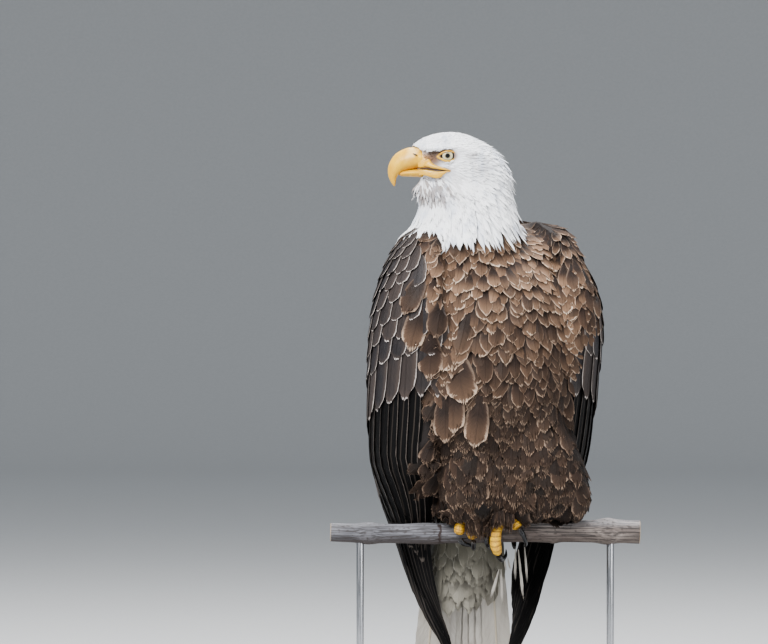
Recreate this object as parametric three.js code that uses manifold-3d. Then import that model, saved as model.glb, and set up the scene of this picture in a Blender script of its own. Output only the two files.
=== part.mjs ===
// Bald eagle, life size, perched on a cut length of branch that a plain display stand holds up.
// Millimetres, +Z up. The origin is the centre of the underside of the stand's base. The branch
// runs along X. The bird faces -Y, turned a little towards +X, and looks towards -X.
import * as THREE from 'three';
import { mergeVertices } from 'three/addons/utils/BufferGeometryUtils.js';
import Module from 'manifold-3d';

const wasm = await Module();
wasm.setup();

// ---- Driving dimensions -------------------------------------------------------------------
const GAP = 0.3;                 // clearance between neighbouring pieces
const BODY_TURN = 18;            // degrees, the body's heading away from -Y towards +X
const HEAD_TURN = 5;             // degrees, the head's heading away from -X towards -Y
const PERCH_TOP = 272;           // height of the branch's upper side above the floor
const HEAD_CENTRE = [-33, -6, 424]; // from the branch's upper side, between the eyes and nape

const PERCH = { length: 376, radius: 12.6, taper: 1.5 };
const BASE = { length: 350, width: 250, height: 18, corner: 18, bevel: 2, back: 22 };
const ROD = { radius: 4.5, spread: 152 };
const EYE = { radius: 11.5, forward: 15, out: 21.5, up: 19 };

// How many facets each piece has, round it and along it.
const AROUND = {
  trunk: 20, head: 16, neck: 16, wing: 16, thigh: 13, vent: 12, tail: 12, perch: 12, rod: 12,
  billUpper: 10, billLower: 8, eye: 10, leg: 9, toe: 8, talon: 6,
};
const ALONG = {
  trunk: 11, head: 12, neck: 7, thigh: 6, vent: 6, tail: 8, perch: 12, billUpper: 11,
  billLower: 6, eye: 7, leg: 3, digit: 5, shoulder: 7, secondaries: 6, primaries: 8,
};

const SIDES = { left: 1, right: -1 };
const deg = THREE.MathUtils.degToRad;

// ---- Materials ----------------------------------------------------------------------------
function finish(color, roughness, metalness = 0) {
  return new THREE.MeshStandardMaterial({ color, roughness, metalness });
}
const whiteFeather = finish(0xf1f2f4, 0.8);
const brownFeather = finish(0x5b4538, 0.8);
const flightFeather = finish(0x1f1b1c, 0.65);
const yellowHorn = finish(0xe9b43a, 0.35);
const yellowScale = finish(0xe3a01c, 0.5);
const blackHorn = finish(0x16161a, 0.25);
const eyeFinish = finish(0xd8c98a, 0.1);
const bark = finish(0x9b938c, 0.85);
const baseFinish = finish(0x2b2622, 0.5);
const steel = finish(0x8c8f93, 0.35, 1);

// ---- Shapes -------------------------------------------------------------------------------
// Values between the rows of a table of sections, on a smooth curve through them.
function sections(rows) {
  const keys = Object.keys(rows[0]).filter((key) => key !== 'at');
  const places = rows.map((row) => row.at);
  const values = rows.flatMap((row) => keys.map((key) => row[key]));
  const spline = new THREE.CubicInterpolant(places, values, keys.length, []);
  return (at) => {
    const found = spline.evaluate(at);
    return Object.fromEntries(keys.map((key, i) => [key, found[i]]));
  };
}

// A capped cylinder with each of its points moved to place(t, angle, reach), where t runs from
// end to end, angle round the ring, and reach is 0 in the middle of a cap and 1 on the ring.
function swept(around, along, place) {
  const shape = new THREE.CylinderGeometry(1, 1, 1, around, along);
  shape.deleteAttribute('normal');
  shape.deleteAttribute('uv');
  const points = shape.attributes.position;
  for (let i = 0; i < points.count; i += 1) {
    const [x, y, z] = [points.getX(i), points.getY(i), points.getZ(i)];
    const moved = place(y + 0.5, Math.atan2(z, x), Math.min(1, Math.hypot(x, z)));
    points.setXYZ(i, moved.x, moved.y, moved.z);
  }
  return mergeVertices(shape, 1e-4);
}

// A sine or cosine squared off by power, which makes a section boxier than an ellipse above 2.
const squared = (wave, power) => Math.sign(wave) * Math.abs(wave) ** (2 / power);

// Horizontal egg-shaped sections: side to both sides, front towards -Y and back towards +Y.
function uprightBody(rows, around, along, grow = 0, power = 2.2) {
  const at = sections(rows);
  const [low, high] = [rows[0].at - grow, rows.at(-1).at + grow];
  return swept(around, along, (t, angle, reach) => {
    const height = low + (high - low) * t;
    const s = at(THREE.MathUtils.clamp(height, rows[0].at, rows.at(-1).at));
    const depth = Math.sin(angle) < 0 ? s.front : s.back;
    return new THREE.Vector3(
      s.x + reach * (s.side + grow) * squared(Math.cos(angle), power),
      s.y + reach * (depth + grow) * squared(Math.sin(angle), power),
      height,
    );
  });
}

// A round bar along a curve through points, with its radius from a table from 0 to 1.
function bar(points, radii, around, along, grow = 0) {
  const curve = new THREE.CatmullRomCurve3(points.map((p) => new THREE.Vector3(...p)));
  const radiusAt = sections(radii);
  const frames = curve.computeFrenetFrames(along);
  return swept(around, along, (t, angle, reach) => {
    const step = Math.round(t * along);
    const out = frames.normals[step].clone().multiplyScalar(Math.cos(angle))
      .addScaledVector(frames.binormals[step], Math.sin(angle));
    const end = t <= 0 ? -grow : t >= 1 ? grow : 0;
    return curve.getPointAt(t)
      .addScaledVector(out, reach * (radiusAt(t).radius + grow))
      .addScaledVector(frames.tangents[step], end);
  });
}

// ---- Solids -------------------------------------------------------------------------------
function solid(geometry, matrix) {
  const placed = matrix ? geometry.clone().applyMatrix4(matrix) : geometry;
  const triVerts = new Uint32Array(placed.index.array);
  const vertProperties = new Float32Array(placed.attributes.position.array);
  const made = new wasm.Manifold(new wasm.Mesh({ numProp: 3, vertProperties, triVerts }));
  if (made.volume() > 0) return made;
  for (let i = 0; i < triVerts.length; i += 3) {
    [triVerts[i + 1], triVerts[i + 2]] = [triVerts[i + 2], triVerts[i + 1]];
  }
  return new wasm.Manifold(new wasm.Mesh({ numProp: 3, vertProperties, triVerts }));
}

// The largest body left after cutters are taken away.
function cut(blank, ...cutters) {
  const left = cutters.reduce((rest, cutter) => rest.subtract(cutter), blank);
  return left.decompose().sort((a, b) => b.volume() - a.volume())[0];
}

function meshOf(name, made, material) {
  const { vertProperties, triVerts, numProp, numVert } = made.getMesh();
  const points = new Float32Array(numVert * 3);
  for (let i = 0; i < numVert; i += 1) {
    points.set(vertProperties.subarray(i * numProp, i * numProp + 3), i * 3);
  }
  const geometry = new THREE.BufferGeometry();
  geometry.setAttribute('position', new THREE.BufferAttribute(points, 3));
  geometry.setIndex(new THREE.BufferAttribute(new Uint32Array(triVerts), 1));
  geometry.computeVertexNormals();
  const mesh = new THREE.Mesh(geometry, material);
  mesh.name = name;
  return mesh;
}

// ---- Frames -------------------------------------------------------------------------------
const eagle = new THREE.Group();
const perched = new THREE.Group();      // origin on the branch's upper side, not turned
perched.position.z = PERCH_TOP;
const bird = new THREE.Group();         // the body's own frame: it faces -Y
bird.rotation.z = deg(BODY_TURN);
eagle.add(perched);
perched.add(bird);

const toBird = new THREE.Matrix4().makeRotationZ(-deg(BODY_TURN));
const toPerch = toBird.clone().invert();
const forward = new THREE.Vector3(-Math.cos(deg(HEAD_TURN)), -Math.sin(deg(HEAD_TURN)), 0);
const upward = new THREE.Vector3(0, 0, 1);
// The head's frame: x forward along the bill, y to the bird's left, z up.
const headFrame = new THREE.Matrix4()
  .makeBasis(forward, new THREE.Vector3().crossVectors(upward, forward), upward)
  .setPosition(...HEAD_CENTRE);
const headInBird = toBird.clone().multiply(headFrame);

// ---- Branch -------------------------------------------------------------------------------
const KNOTS = [
  { x: -142, size: 2.2, spread: 12 },
  { x: -74, size: 0.9, spread: 16 },
  { x: 78, size: 1.1, spread: 14 },
  { x: 148, size: 2.8, spread: 11 },
];

const PERCH_AXIS_Z = -PERCH.radius - 1;
const PERCH_BOW = { rise: 1.6, wave: 62 };   // the branch isn't quite straight

function perchRadius(x) {
  const knots = KNOTS.reduce((sum, k) => sum + k.size * Math.exp(-(((x - k.x) / k.spread) ** 2)), 0);
  return PERCH.radius + (PERCH.taper * x) / (PERCH.length / 2) + knots;
}

function perchShape(grow = 0) {
  const half = PERCH.length / 2 + grow;
  return swept(AROUND.perch, ALONG.perch, (t, angle, reach) => {
    const x = (t - 0.5) * 2 * half;
    const radius = (perchRadius(x) + grow) * reach;
    const bow = PERCH_BOW.rise * Math.sin(x / PERCH_BOW.wave);
    return new THREE.Vector3(
      x, radius * Math.cos(angle), bow + PERCH_AXIS_Z + radius * Math.sin(angle),
    );
  });
}
const perch = solid(perchShape());
const perchRoom = solid(perchShape(GAP));
const perchRoomInBird = solid(perchShape(GAP + 1), toBird);

// ---- Feet ---------------------------------------------------------------------------------
// A toe that grips: it leaves the pad at the top of the branch and goes round it by wrap
// degrees, forwards if positive. Each row's x is where it starts and ends along the branch.
const TOE_RADIUS = 7.6;
const TOE_REST = TOE_RADIUS + 0.6;    // from the bark to the middle of a toe
const TALON = { turn: 88, drift: 0.3, lead: 4, lift: 8.4, fall: 5, bow: 2.4 };

function roundPerch(x, wrap, lift) {
  const reach = perchRadius(x) + lift;
  return [x, -reach * Math.sin(deg(wrap)), PERCH_AXIS_Z + reach * Math.cos(deg(wrap))];
}

function gripPath({ x, wrap }) {
  return [0, 0.33, 0.66, 1].map((t) => roundPerch(
    x[0] + (x[1] - x[0]) * t,
    wrap[0] + (wrap[1] - wrap[0]) * t,
    TOE_REST,
  ));
}

// A talon curls on from the end of its toe, the same way round, and closes on the bark.
function curlPath({ x, wrap }) {
  const way = Math.sign(wrap[1] - wrap[0]);
  const drift = (x[1] - x[0]) * TALON.drift;
  return [0, 0.35, 0.7, 1].map((t) => roundPerch(
    x[1] + drift * t,
    wrap[1] + way * (TALON.lead + TALON.turn * t),
    TALON.lift - TALON.fall * t + TALON.bow * Math.sin(Math.PI * t),
  ));
}

const FEET = {
  right: {
    ankle: [-20, 2],
    toes: [
      { x: [-18, -14], wrap: [-22, -98] },
      { x: [-10, 1], wrap: [26, 92] },
      { x: [-20, -15], wrap: [30, 112] },
      { x: [-27, -33], wrap: [24, 96], talon: [[-31, -17.5, -21], [-27, -18.5, -26], [-14, -13, -30.5]] },
    ],
  },
  left: {
    ankle: [30, 2],
    toes: [
      { x: [31, 35], wrap: [-22, -98] },
      {
        path: [[23, -10, 4.5], [13.5, -19.5, -7], [12, -22.5, -25], [15.5, -23, -41]],
        talon: [[16, -20, -43], [20, -11, -47], [25, 0, -42], [25.5, 4, -34]],
      },
      {
        path: [[30, -8, 5.5], [34, -16.5, 1], [40, -20.5, -8]],
        talon: [[41.5, -21, -12], [46, -22, -20], [48.5, -17, -29], [46, -9, -32]],
      },
      { x: [41, 64], wrap: [-8, -36] },
    ],
  },
};

const TOE_TAPER = [
  { at: 0, radius: TOE_RADIUS - 0.6 }, { at: 0.4, radius: TOE_RADIUS },
  { at: 0.8, radius: TOE_RADIUS - 0.9 }, { at: 1, radius: TOE_RADIUS - 2.6 },
];
const TALON_TAPER = [
  { at: 0, radius: 4.6 }, { at: 0.3, radius: 3.9 }, { at: 0.7, radius: 2.4 }, { at: 1, radius: 0.6 },
];
const LEG_TAPER = [{ at: 0, radius: 11.5 }, { at: 0.35, radius: 9 }, { at: 1, radius: 9.5 }];

const footRoom = [];                  // what each later piece of the feet leaves clear
function addDigits(part, pathOf, taper, around, material) {
  for (const [side, foot] of Object.entries(FEET)) {
    foot.toes.forEach((toe, i) => {
      const path = pathOf(toe);
      const made = cut(solid(bar(path, taper, around, ALONG.digit)), perchRoom, ...footRoom);
      perched.add(meshOf(`${part}_${side}_${i + 1}`, made, material));
      footRoom.push(solid(bar(path, taper, around, ALONG.digit, GAP)));
    });
  }
}

for (const [side, foot] of Object.entries(FEET)) {
  const [x, y] = foot.ankle;
  const legPath = [[x, y, 6.5], [x, y - 1, 16], [x, y - 4, 30]];
  const leg = cut(solid(bar(legPath, LEG_TAPER, AROUND.leg, ALONG.leg)), perchRoom);
  perched.add(meshOf(`leg_${side}`, leg, yellowScale));
  footRoom.push(solid(bar(legPath, LEG_TAPER, AROUND.leg, ALONG.leg, GAP)));
}
addDigits('toe', (toe) => toe.path ?? gripPath(toe), TOE_TAPER, AROUND.toe, yellowScale);
addDigits('talon', (toe) => toe.talon ?? curlPath(toe), TALON_TAPER, AROUND.talon, blackHorn);
const footRoomAll = footRoom.reduce((all, one) => all.add(one));

// ---- Body ---------------------------------------------------------------------------------
// Heights are above the branch. The coat is included, so the solids reach the feathers' tips.
const TRUNK = [
  { at: 14, x: 0, y: 62, side: 34, front: 34, back: 30 },
  { at: 32, x: 0, y: 46, side: 62, front: 56, back: 50 },
  { at: 62, x: 2, y: 32, side: 84, front: 82, back: 70 },
  { at: 105, x: 2, y: 20, side: 98, front: 98, back: 84 },
  { at: 155, x: 2, y: 10, side: 105, front: 104, back: 94 },
  { at: 205, x: 0, y: 5, side: 108, front: 104, back: 98 },
  { at: 255, x: 0, y: 5, side: 108, front: 98, back: 94 },
  { at: 300, x: 0, y: 12, side: 102, front: 86, back: 80 },
  { at: 332, x: 4, y: 20, side: 94, front: 68, back: 64 },
  { at: 352, x: 12, y: 27, side: 80, front: 46, back: 48 },
  { at: 364, x: 20, y: 31, side: 62, front: 24, back: 32 },
];
// The feathered upper legs, in the branch's own frame.
const THIGHS = {
  right: [
    { at: 3, x: -17, y: -15, side: 30, front: 24, back: 24 },
    { at: 16, x: -17, y: -16, side: 39, front: 36, back: 34 },
    { at: 46, x: -17, y: -14, side: 43, front: 50, back: 46 },
    { at: 90, x: -18, y: -12, side: 48, front: 60, back: 52 },
    { at: 130, x: -18, y: -10, side: 40, front: 52, back: 44 },
  ],
  left: [
    { at: 3, x: 66, y: -8, side: 50, front: 26, back: 26 },
    { at: 16, x: 70, y: -9, side: 58, front: 36, back: 36 },
    { at: 46, x: 70, y: -8, side: 58, front: 52, back: 52 },
    { at: 90, x: 64, y: -6, side: 52, front: 62, back: 58 },
    { at: 130, x: 56, y: -4, side: 40, front: 54, back: 50 },
  ],
};
// The vent and the feathers under the root of the tail.
const VENT = [
  { at: -96, x: 0, y: 82, side: 26, front: 7, back: 4 },
  { at: -70, x: 0, y: 76, side: 40, front: 14, back: 9 },
  { at: -30, x: 0, y: 66, side: 48, front: 28, back: 20 },
  { at: 8, x: 0, y: 60, side: 47, front: 34, back: 30 },
  { at: 34, x: 0, y: 56, side: 40, front: 26, back: 30 },
];

const trunk = solid(uprightBody(TRUNK, AROUND.trunk, ALONG.trunk));
const trunkRoom = solid(uprightBody(TRUNK, AROUND.trunk, ALONG.trunk, GAP));

// The head and neck, in the head's frame: forward along the bill is x.
const HEAD = [
  { at: -65, half: 9, top: 0, bottom: -30 },
  { at: -58.5, half: 23, top: 11, bottom: -38 },
  { at: -49, half: 31, top: 22.5, bottom: -40 },
  { at: -34, half: 37, top: 35, bottom: -40 },
  { at: -17, half: 38, top: 44.5, bottom: -36 },
  { at: 0, half: 36, top: 49.5, bottom: -28 },
  { at: 17, half: 31.5, top: 50, bottom: -18 },
  { at: 33, half: 26, top: 47, bottom: -13 },
  { at: 46, half: 19.5, top: 42, bottom: -10 },
  { at: 53, half: 13, top: 37, bottom: -6 },
  { at: 56, half: 6, top: 31, bottom: 4 },
];
const NECK = [
  { at: -118, mid: -10, reach: 62, half: 58 },
  { at: -100, mid: -8, reach: 72, half: 66 },
  { at: -85, mid: -3, reach: 74, half: 64 },
  { at: -70, mid: -7, reach: 69, half: 57 },
  { at: -56, mid: -9, reach: 64, half: 51 },
  { at: -42, mid: -9, reach: 60, half: 46 },
  { at: -26, mid: -8, reach: 60, half: 42 },
  { at: -12, mid: -5, reach: 61, half: 36 },
  { at: -3, mid: -12, reach: 48, half: 28 },
];

function headShape(grow = 0) {
  const at = sections(HEAD);
  const [rear, front] = [HEAD[0].at, HEAD.at(-1).at];
  return swept(AROUND.head, ALONG.head, (t, angle, reach) => {
    const along = rear + (front - rear) * t;
    const s = at(along);
    const middle = (s.top + s.bottom) / 2;
    const tall = (s.top - s.bottom) / 2 + grow;
    const end = t <= 0 ? -grow : t >= 1 ? grow : 0;
    return new THREE.Vector3(
      along + end,
      reach * (s.half + grow) * squared(Math.cos(angle), 2.25),
      middle + reach * tall * squared(Math.sin(angle), 2.15),
    );
  });
}

// The neck is egg-shaped from above, narrow at the throat and broad at the nape.
const THROAT_NARROWING = 0.38;
function neckShape(grow = 0) {
  const at = sections(NECK);
  const [low, high] = [NECK[0].at, NECK.at(-1).at];
  return swept(AROUND.neck, ALONG.neck, (t, angle, reach) => {
    const height = low + (high - low) * t;
    const s = at(height);
    const ahead = Math.cos(angle);
    const narrowing = 1 - THROAT_NARROWING * t * Math.max(0, ahead);
    return new THREE.Vector3(
      s.mid + reach * (s.reach + grow) * ahead,
      reach * (s.half + grow) * Math.sin(angle) * narrowing,
      height + (t >= 1 ? grow : 0),
    );
  });
}

// ---- Bill ---------------------------------------------------------------------------------
// Sections square to the line of the bill: tall is half its depth and half is half its width.
const BILL_UPPER = {
  line: [[34, 14], [46, 16.5], [58, 16], [68, 12.5], [76, 5], [79.5, -5], [77.4, -17.5]],
  rows: [
    { at: 0, tall: 11, half: 13 }, { at: 0.17, tall: 13.2, half: 16.2 },
    { at: 0.36, tall: 13.4, half: 14 }, { at: 0.53, tall: 12.2, half: 11 },
    { at: 0.7, tall: 8.6, half: 7.4 }, { at: 0.85, tall: 4.4, half: 4.2 },
    { at: 1, tall: 0.6, half: 0.6 },
  ],
  around: AROUND.billUpper,
  along: ALONG.billUpper,
};
const BILL_LOWER = {
  line: [[24, -1], [40, -2], [56, -2.4], [66, -3.2], [73.5, -3.6]],
  rows: [
    { at: 0, tall: 3, half: 14 }, { at: 0.35, tall: 4.4, half: 14.2 },
    { at: 0.7, tall: 4.2, half: 11 }, { at: 0.9, tall: 3.2, half: 7.4 },
    { at: 1, tall: 1.4, half: 3 },
  ],
  around: AROUND.billLower,
  along: ALONG.billLower,
};

function billShape({ line, rows, around, along }, grow = 0) {
  const curve = new THREE.CatmullRomCurve3(line.map(([x, z]) => new THREE.Vector3(x, 0, z)));
  const at = sections(rows);
  const side = new THREE.Vector3(0, 1, 0);
  return swept(around, along, (t, angle, reach) => {
    const s = at(t);
    const ahead = curve.getTangentAt(t);
    const up = new THREE.Vector3().crossVectors(ahead, side);
    const end = t <= 0 ? -grow : t >= 1 ? grow : 0;
    return curve.getPointAt(t)
      .addScaledVector(side, reach * (s.half + grow) * Math.cos(angle))
      .addScaledVector(up, reach * (s.tall + grow) * Math.sin(angle))
      .addScaledVector(ahead, end);
  });
}

function eyeShape(side, grow = 0) {
  const ball = new THREE.SphereGeometry(EYE.radius + grow, AROUND.eye, ALONG.eye);
  ball.deleteAttribute('normal');
  ball.deleteAttribute('uv');
  return mergeVertices(ball.translate(EYE.forward, side * EYE.out, EYE.up), 1e-4);
}

const billUpper = solid(billShape(BILL_UPPER), headInBird);
const billUpperRoom = solid(billShape(BILL_UPPER, GAP), headInBird);
const billLower = solid(billShape(BILL_LOWER), headInBird);
const billLowerRoom = solid(billShape(BILL_LOWER, GAP), headInBird);
const eyeRooms = Object.values(SIDES).map((side) => solid(eyeShape(side, GAP), headInBird));

const headRoom = solid(headShape(GAP), headInBird);
const head = cut(solid(headShape(), headInBird), billUpperRoom, billLowerRoom, ...eyeRooms);
const neck = cut(
  solid(neckShape(), headInBird), trunkRoom, headRoom, billLowerRoom, ...eyeRooms,
);
const neckRoom = solid(neckShape(GAP), headInBird);

bird.add(meshOf('head', head, whiteFeather));
bird.add(meshOf('neck', neck, whiteFeather));
bird.add(meshOf('bill_upper', billUpper, yellowHorn));
bird.add(meshOf('bill_lower', cut(billLower, billUpperRoom), yellowHorn));
for (const [name, side] of Object.entries(SIDES)) {
  bird.add(meshOf(`eye_${name}`, cut(solid(eyeShape(side), headInBird)), eyeFinish));
}

// ---- Tail ---------------------------------------------------------------------------------
const TAIL = [
  { at: -228, y: 106, half: 34, thick: 2.2 },
  { at: -222, y: 105.6, half: 46, thick: 2.6 },
  { at: -200, y: 104, half: 57, thick: 3.2 },
  { at: -151, y: 100, half: 60, thick: 4 },
  { at: -87, y: 94, half: 58, thick: 5.5 },
  { at: -40, y: 89, half: 50, thick: 8 },
  { at: 0, y: 85, half: 38, thick: 10 },
  { at: 22, y: 82, half: 26, thick: 8 },
];
const TAIL_ARCH = { depth: 10, half: 58 };   // how far forward the outer feathers lie

function tailShape(grow = 0) {
  const at = sections(TAIL);
  const [low, high] = [TAIL[0].at - grow, TAIL.at(-1).at + grow];
  return swept(AROUND.tail, ALONG.tail, (t, angle, reach) => {
    const height = low + (high - low) * t;
    const s = at(THREE.MathUtils.clamp(height, TAIL[0].at, TAIL.at(-1).at));
    const across = reach * squared(Math.cos(angle), 2.6);
    return new THREE.Vector3(
      across * (s.half + grow),
      s.y - TAIL_ARCH.depth * across * across * (s.half / TAIL_ARCH.half)
        + reach * (s.thick + grow) * squared(Math.sin(angle), 2.4),
      height,
    );
  });
}

// ---- Wings --------------------------------------------------------------------------------
// A folded wing is a shell round the side of the body. Each section runs from its front edge F
// through M, the middle, to its rear edge R. Distances from the body's middle are for one side.
const WING_TOP = [
  { at: 262, fx: 80, fy: -70, mx: 128, my: -8, rx: 60, ry: 98, thick: 16 },
  { at: 290, fx: 78, fy: -64, mx: 120, my: -8, rx: 64, ry: 90, thick: 16 },
  { at: 320, fx: 74, fy: -50, mx: 107, my: -3, rx: 66, ry: 76, thick: 15 },
  { at: 345, fx: 66, fy: -30, mx: 92, my: 4, rx: 64, ry: 58, thick: 13 },
  { at: 358, fx: 62, fy: -12, mx: 80, my: 9, rx: 60, ry: 42, thick: 10 },
  { at: 365, fx: 64, fy: 4, mx: 72, my: 12, rx: 62, ry: 26, thick: 5 },
];
const WING_SIDE = [
  { at: 70, fx: 73, fy: -25, mx: 129, my: 27, rx: 12, ry: 105, thick: 11 },
  { at: 110, fx: 73, fy: -40, mx: 131, my: 21, rx: 19, ry: 109, thick: 12 },
  { at: 150, fx: 75, fy: -50, mx: 131, my: 16, rx: 29, ry: 110, thick: 14 },
  { at: 190, fx: 78, fy: -60, mx: 131, my: 8, rx: 41, ry: 109, thick: 15 },
  { at: 230, fx: 80, fy: -68, mx: 131, my: -3, rx: 52, ry: 105, thick: 16 },
];
// The right wing's front edge lies over the breast, and the left wing is held closer in.
const WING_SET = {
  right: { lead: [3, -12], out: 0 },
  left: { lead: [2, 0], out: -4 },
  from: 20,                           // the heights between which the shift comes in
  full: 120,
};
const WING_TIPS = {
  right: [
    { at: -178, fx: 22, fy: 43, mx: 24, my: 43, rx: 23, ry: 46, thick: 1.2 },
    { at: -149, fx: 26, fy: 43, mx: 33, my: 44, rx: 24, ry: 54, thick: 3 },
    { at: -121, fx: 38, fy: 43, mx: 48, my: 48, rx: 32, ry: 62, thick: 4 },
    { at: -87, fx: 46, fy: 43, mx: 67, my: 58, rx: 42, ry: 70, thick: 4.5 },
    { at: -58, fx: 51, fy: 42, mx: 76, my: 62, rx: 50, ry: 76, thick: 5 },
    { at: -25, fx: 54, fy: 40, mx: 87, my: 62, rx: 52, ry: 84, thick: 5.5 },
    { at: 0, fx: 50, fy: 34, mx: 97, my: 62, rx: 50, ry: 90, thick: 7 },
    { at: 22, fx: 52, fy: 18, mx: 110, my: 46, rx: 34, ry: 98, thick: 9 },
    { at: 42, fx: 58, fy: -5, mx: 117, my: 35, rx: 20, ry: 101, thick: 10 },
  ],
  left: [
    { at: -207, fx: 37, fy: 45, mx: 36, my: 48, rx: 35, ry: 52, thick: 1.2 },
    { at: -180, fx: 48, fy: 35, mx: 42, my: 48, rx: 32, ry: 58, thick: 2.6 },
    { at: -149, fx: 62, fy: 27, mx: 52, my: 48, rx: 34, ry: 62, thick: 3.4 },
    { at: -121, fx: 75, fy: 24, mx: 62, my: 50, rx: 38, ry: 68, thick: 4 },
    { at: -87, fx: 86, fy: 26, mx: 72, my: 54, rx: 44, ry: 72, thick: 4.5 },
    { at: -58, fx: 92, fy: 24, mx: 80, my: 56, rx: 50, ry: 76, thick: 5 },
    { at: -25, fx: 98, fy: 22, mx: 86, my: 56, rx: 52, ry: 80, thick: 6 },
    { at: 0, fx: 98, fy: 18, mx: 98, my: 54, rx: 48, ry: 92, thick: 7.5 },
    { at: 22, fx: 92, fy: 8, mx: 106, my: 44, rx: 34, ry: 98, thick: 9 },
    { at: 42, fx: 84, fy: -4, mx: 117, my: 35, rx: 20, ry: 101, thick: 10 },
  ],
};
const TRIM = 0.15;                    // half of the thin cut between two lengths of a wing
const SHOULDER_FROM = 215;            // the shoulder's lower edge
const PRIMARIES_BELOW = 34;           // where the long flight feathers stand clear of the rest

function wingShape(name, low, high, along) {
  const side = SIDES[name];
  const { lead, out } = WING_SET[name];
  const at = sections([...WING_TIPS[name], ...WING_SIDE, ...WING_TOP]);
  return swept(AROUND.wing, along, (t, angle, reach) => {
    const height = low + (high - low) * t;
    const s = at(height);
    const above = THREE.MathUtils.smoothstep(height, WING_SET.from, WING_SET.full);
    const front = new THREE.Vector2(s.fx + lead[0] * above, s.fy + lead[1] * above);
    const rear = new THREE.Vector2(s.rx, s.ry);
    const bend = new THREE.Vector2(s.mx + out * above, s.my).multiplyScalar(2)
      .sub(front.clone().add(rear).multiplyScalar(0.5));
    const chord = new THREE.QuadraticBezierCurve(front, bend, rear);
    const u = (1 - reach * Math.cos(angle)) / 2;
    const heading = chord.getTangent(u);
    const outward = new THREE.Vector2(heading.y, -heading.x);
    const point = chord.getPoint(u)
      .addScaledVector(outward, reach * s.thick * squared(Math.sin(angle), 2.6));
    return new THREE.Vector3(side * point.x, point.y, height);
  });
}

const thighShapes = Object.fromEntries(Object.entries(THIGHS).map(([name, rows]) => [
  name, (grow) => solid(uprightBody(rows, AROUND.thigh, ALONG.thigh, grow), toBird),
]));
const ventShape = (grow) => solid(uprightBody(VENT, AROUND.vent, ALONG.vent, grow));
const tailRoom = solid(tailShape(GAP));
const footRoomInBird = footRoomAll.transform([...toBird.elements]);

const vent = cut(ventShape(0), trunkRoom, tailRoom, perchRoomInBird, footRoomInBird);
const ventRoom = ventShape(GAP);
const tail = cut(solid(tailShape()), trunkRoom, perchRoomInBird);
bird.add(meshOf('trunk', cut(trunk, footRoomInBird), brownFeather));
bird.add(meshOf('vent', vent, whiteFeather));
bird.add(meshOf('tail', tail, whiteFeather));

const thighRooms = [];
for (const name of ['right', 'left']) {
  const made = cut(
    thighShapes[name](0), trunkRoom, ventRoom, perchRoomInBird, footRoomInBird, ...thighRooms,
  );
  bird.add(meshOf(`thigh_${name}`, made, brownFeather));
  thighRooms.push(thighShapes[name](GAP));
}

for (const name of ['right', 'left']) {
  const tip = WING_TIPS[name][0].at;
  const lengths = [
    ['shoulder', SHOULDER_FROM + TRIM, WING_TOP.at(-1).at, brownFeather],
    ['secondaries', PRIMARIES_BELOW + TRIM, SHOULDER_FROM - TRIM, flightFeather],
    ['primaries', tip, PRIMARIES_BELOW - TRIM, flightFeather],
  ];
  for (const [length, low, high, material] of lengths) {
    const blank = solid(wingShape(name, low, high, ALONG[length]));
    const made = cut(
      blank, trunkRoom, neckRoom, ventRoom, tailRoom, perchRoomInBird, footRoomInBird, ...thighRooms,
    );
    bird.add(meshOf(`wing_${name}_${length}`, made, material));
  }
}

// ---- Branch and stand ---------------------------------------------------------------------
perched.add(meshOf('perch', perch, bark));

const { length, width, corner, bevel, height, back } = BASE;
const plan = new THREE.Shape();
const [hx, hy] = [length / 2 - bevel, width / 2 - bevel];
plan.moveTo(hx, -hy + corner);
plan.lineTo(hx, hy - corner);
plan.absarc(hx - corner, hy - corner, corner, 0, Math.PI / 2, false);
plan.lineTo(-hx + corner, hy);
plan.absarc(-hx + corner, hy - corner, corner, Math.PI / 2, Math.PI, false);
plan.lineTo(-hx, -hy + corner);
plan.absarc(-hx + corner, -hy + corner, corner, Math.PI, Math.PI * 1.5, false);
plan.lineTo(hx - corner, -hy);
plan.absarc(hx - corner, -hy + corner, corner, Math.PI * 1.5, Math.PI * 2, false);
const slab = new THREE.ExtrudeGeometry(plan, {
  depth: height - 2 * bevel, bevelEnabled: true, bevelSize: bevel, bevelThickness: bevel,
  bevelSegments: 1, curveSegments: 3,
});
slab.deleteAttribute('normal');
slab.deleteAttribute('uv');
slab.translate(0, 0, bevel);
eagle.add(meshOf('stand_base', solid(mergeVertices(slab, 1e-4)), baseFinish));

const perchInWorld = perchRoom.translate([0, -back, PERCH_TOP]);
for (const [name, side] of Object.entries(SIDES)) {
  const top = PERCH_TOP - PERCH.radius;
  const rod = new THREE.CylinderGeometry(ROD.radius, ROD.radius, top - height - GAP, AROUND.rod);
  rod.deleteAttribute('normal');
  rod.deleteAttribute('uv');
  rod.rotateX(Math.PI / 2).translate(side * ROD.spread, -back, (top + height + GAP) / 2);
  const made = cut(solid(mergeVertices(rod, 1e-4)), perchInWorld);
  eagle.add(meshOf(`stand_rod_${name}`, made, steel));
}
perched.position.y = -back;

export default eagle;
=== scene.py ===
import math

import bmesh
import bpy
import numpy as np
from mathutils import Matrix, Vector, noise
from mathutils.bvhtree import BVHTree
from mathutils.kdtree import KDTree


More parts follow.
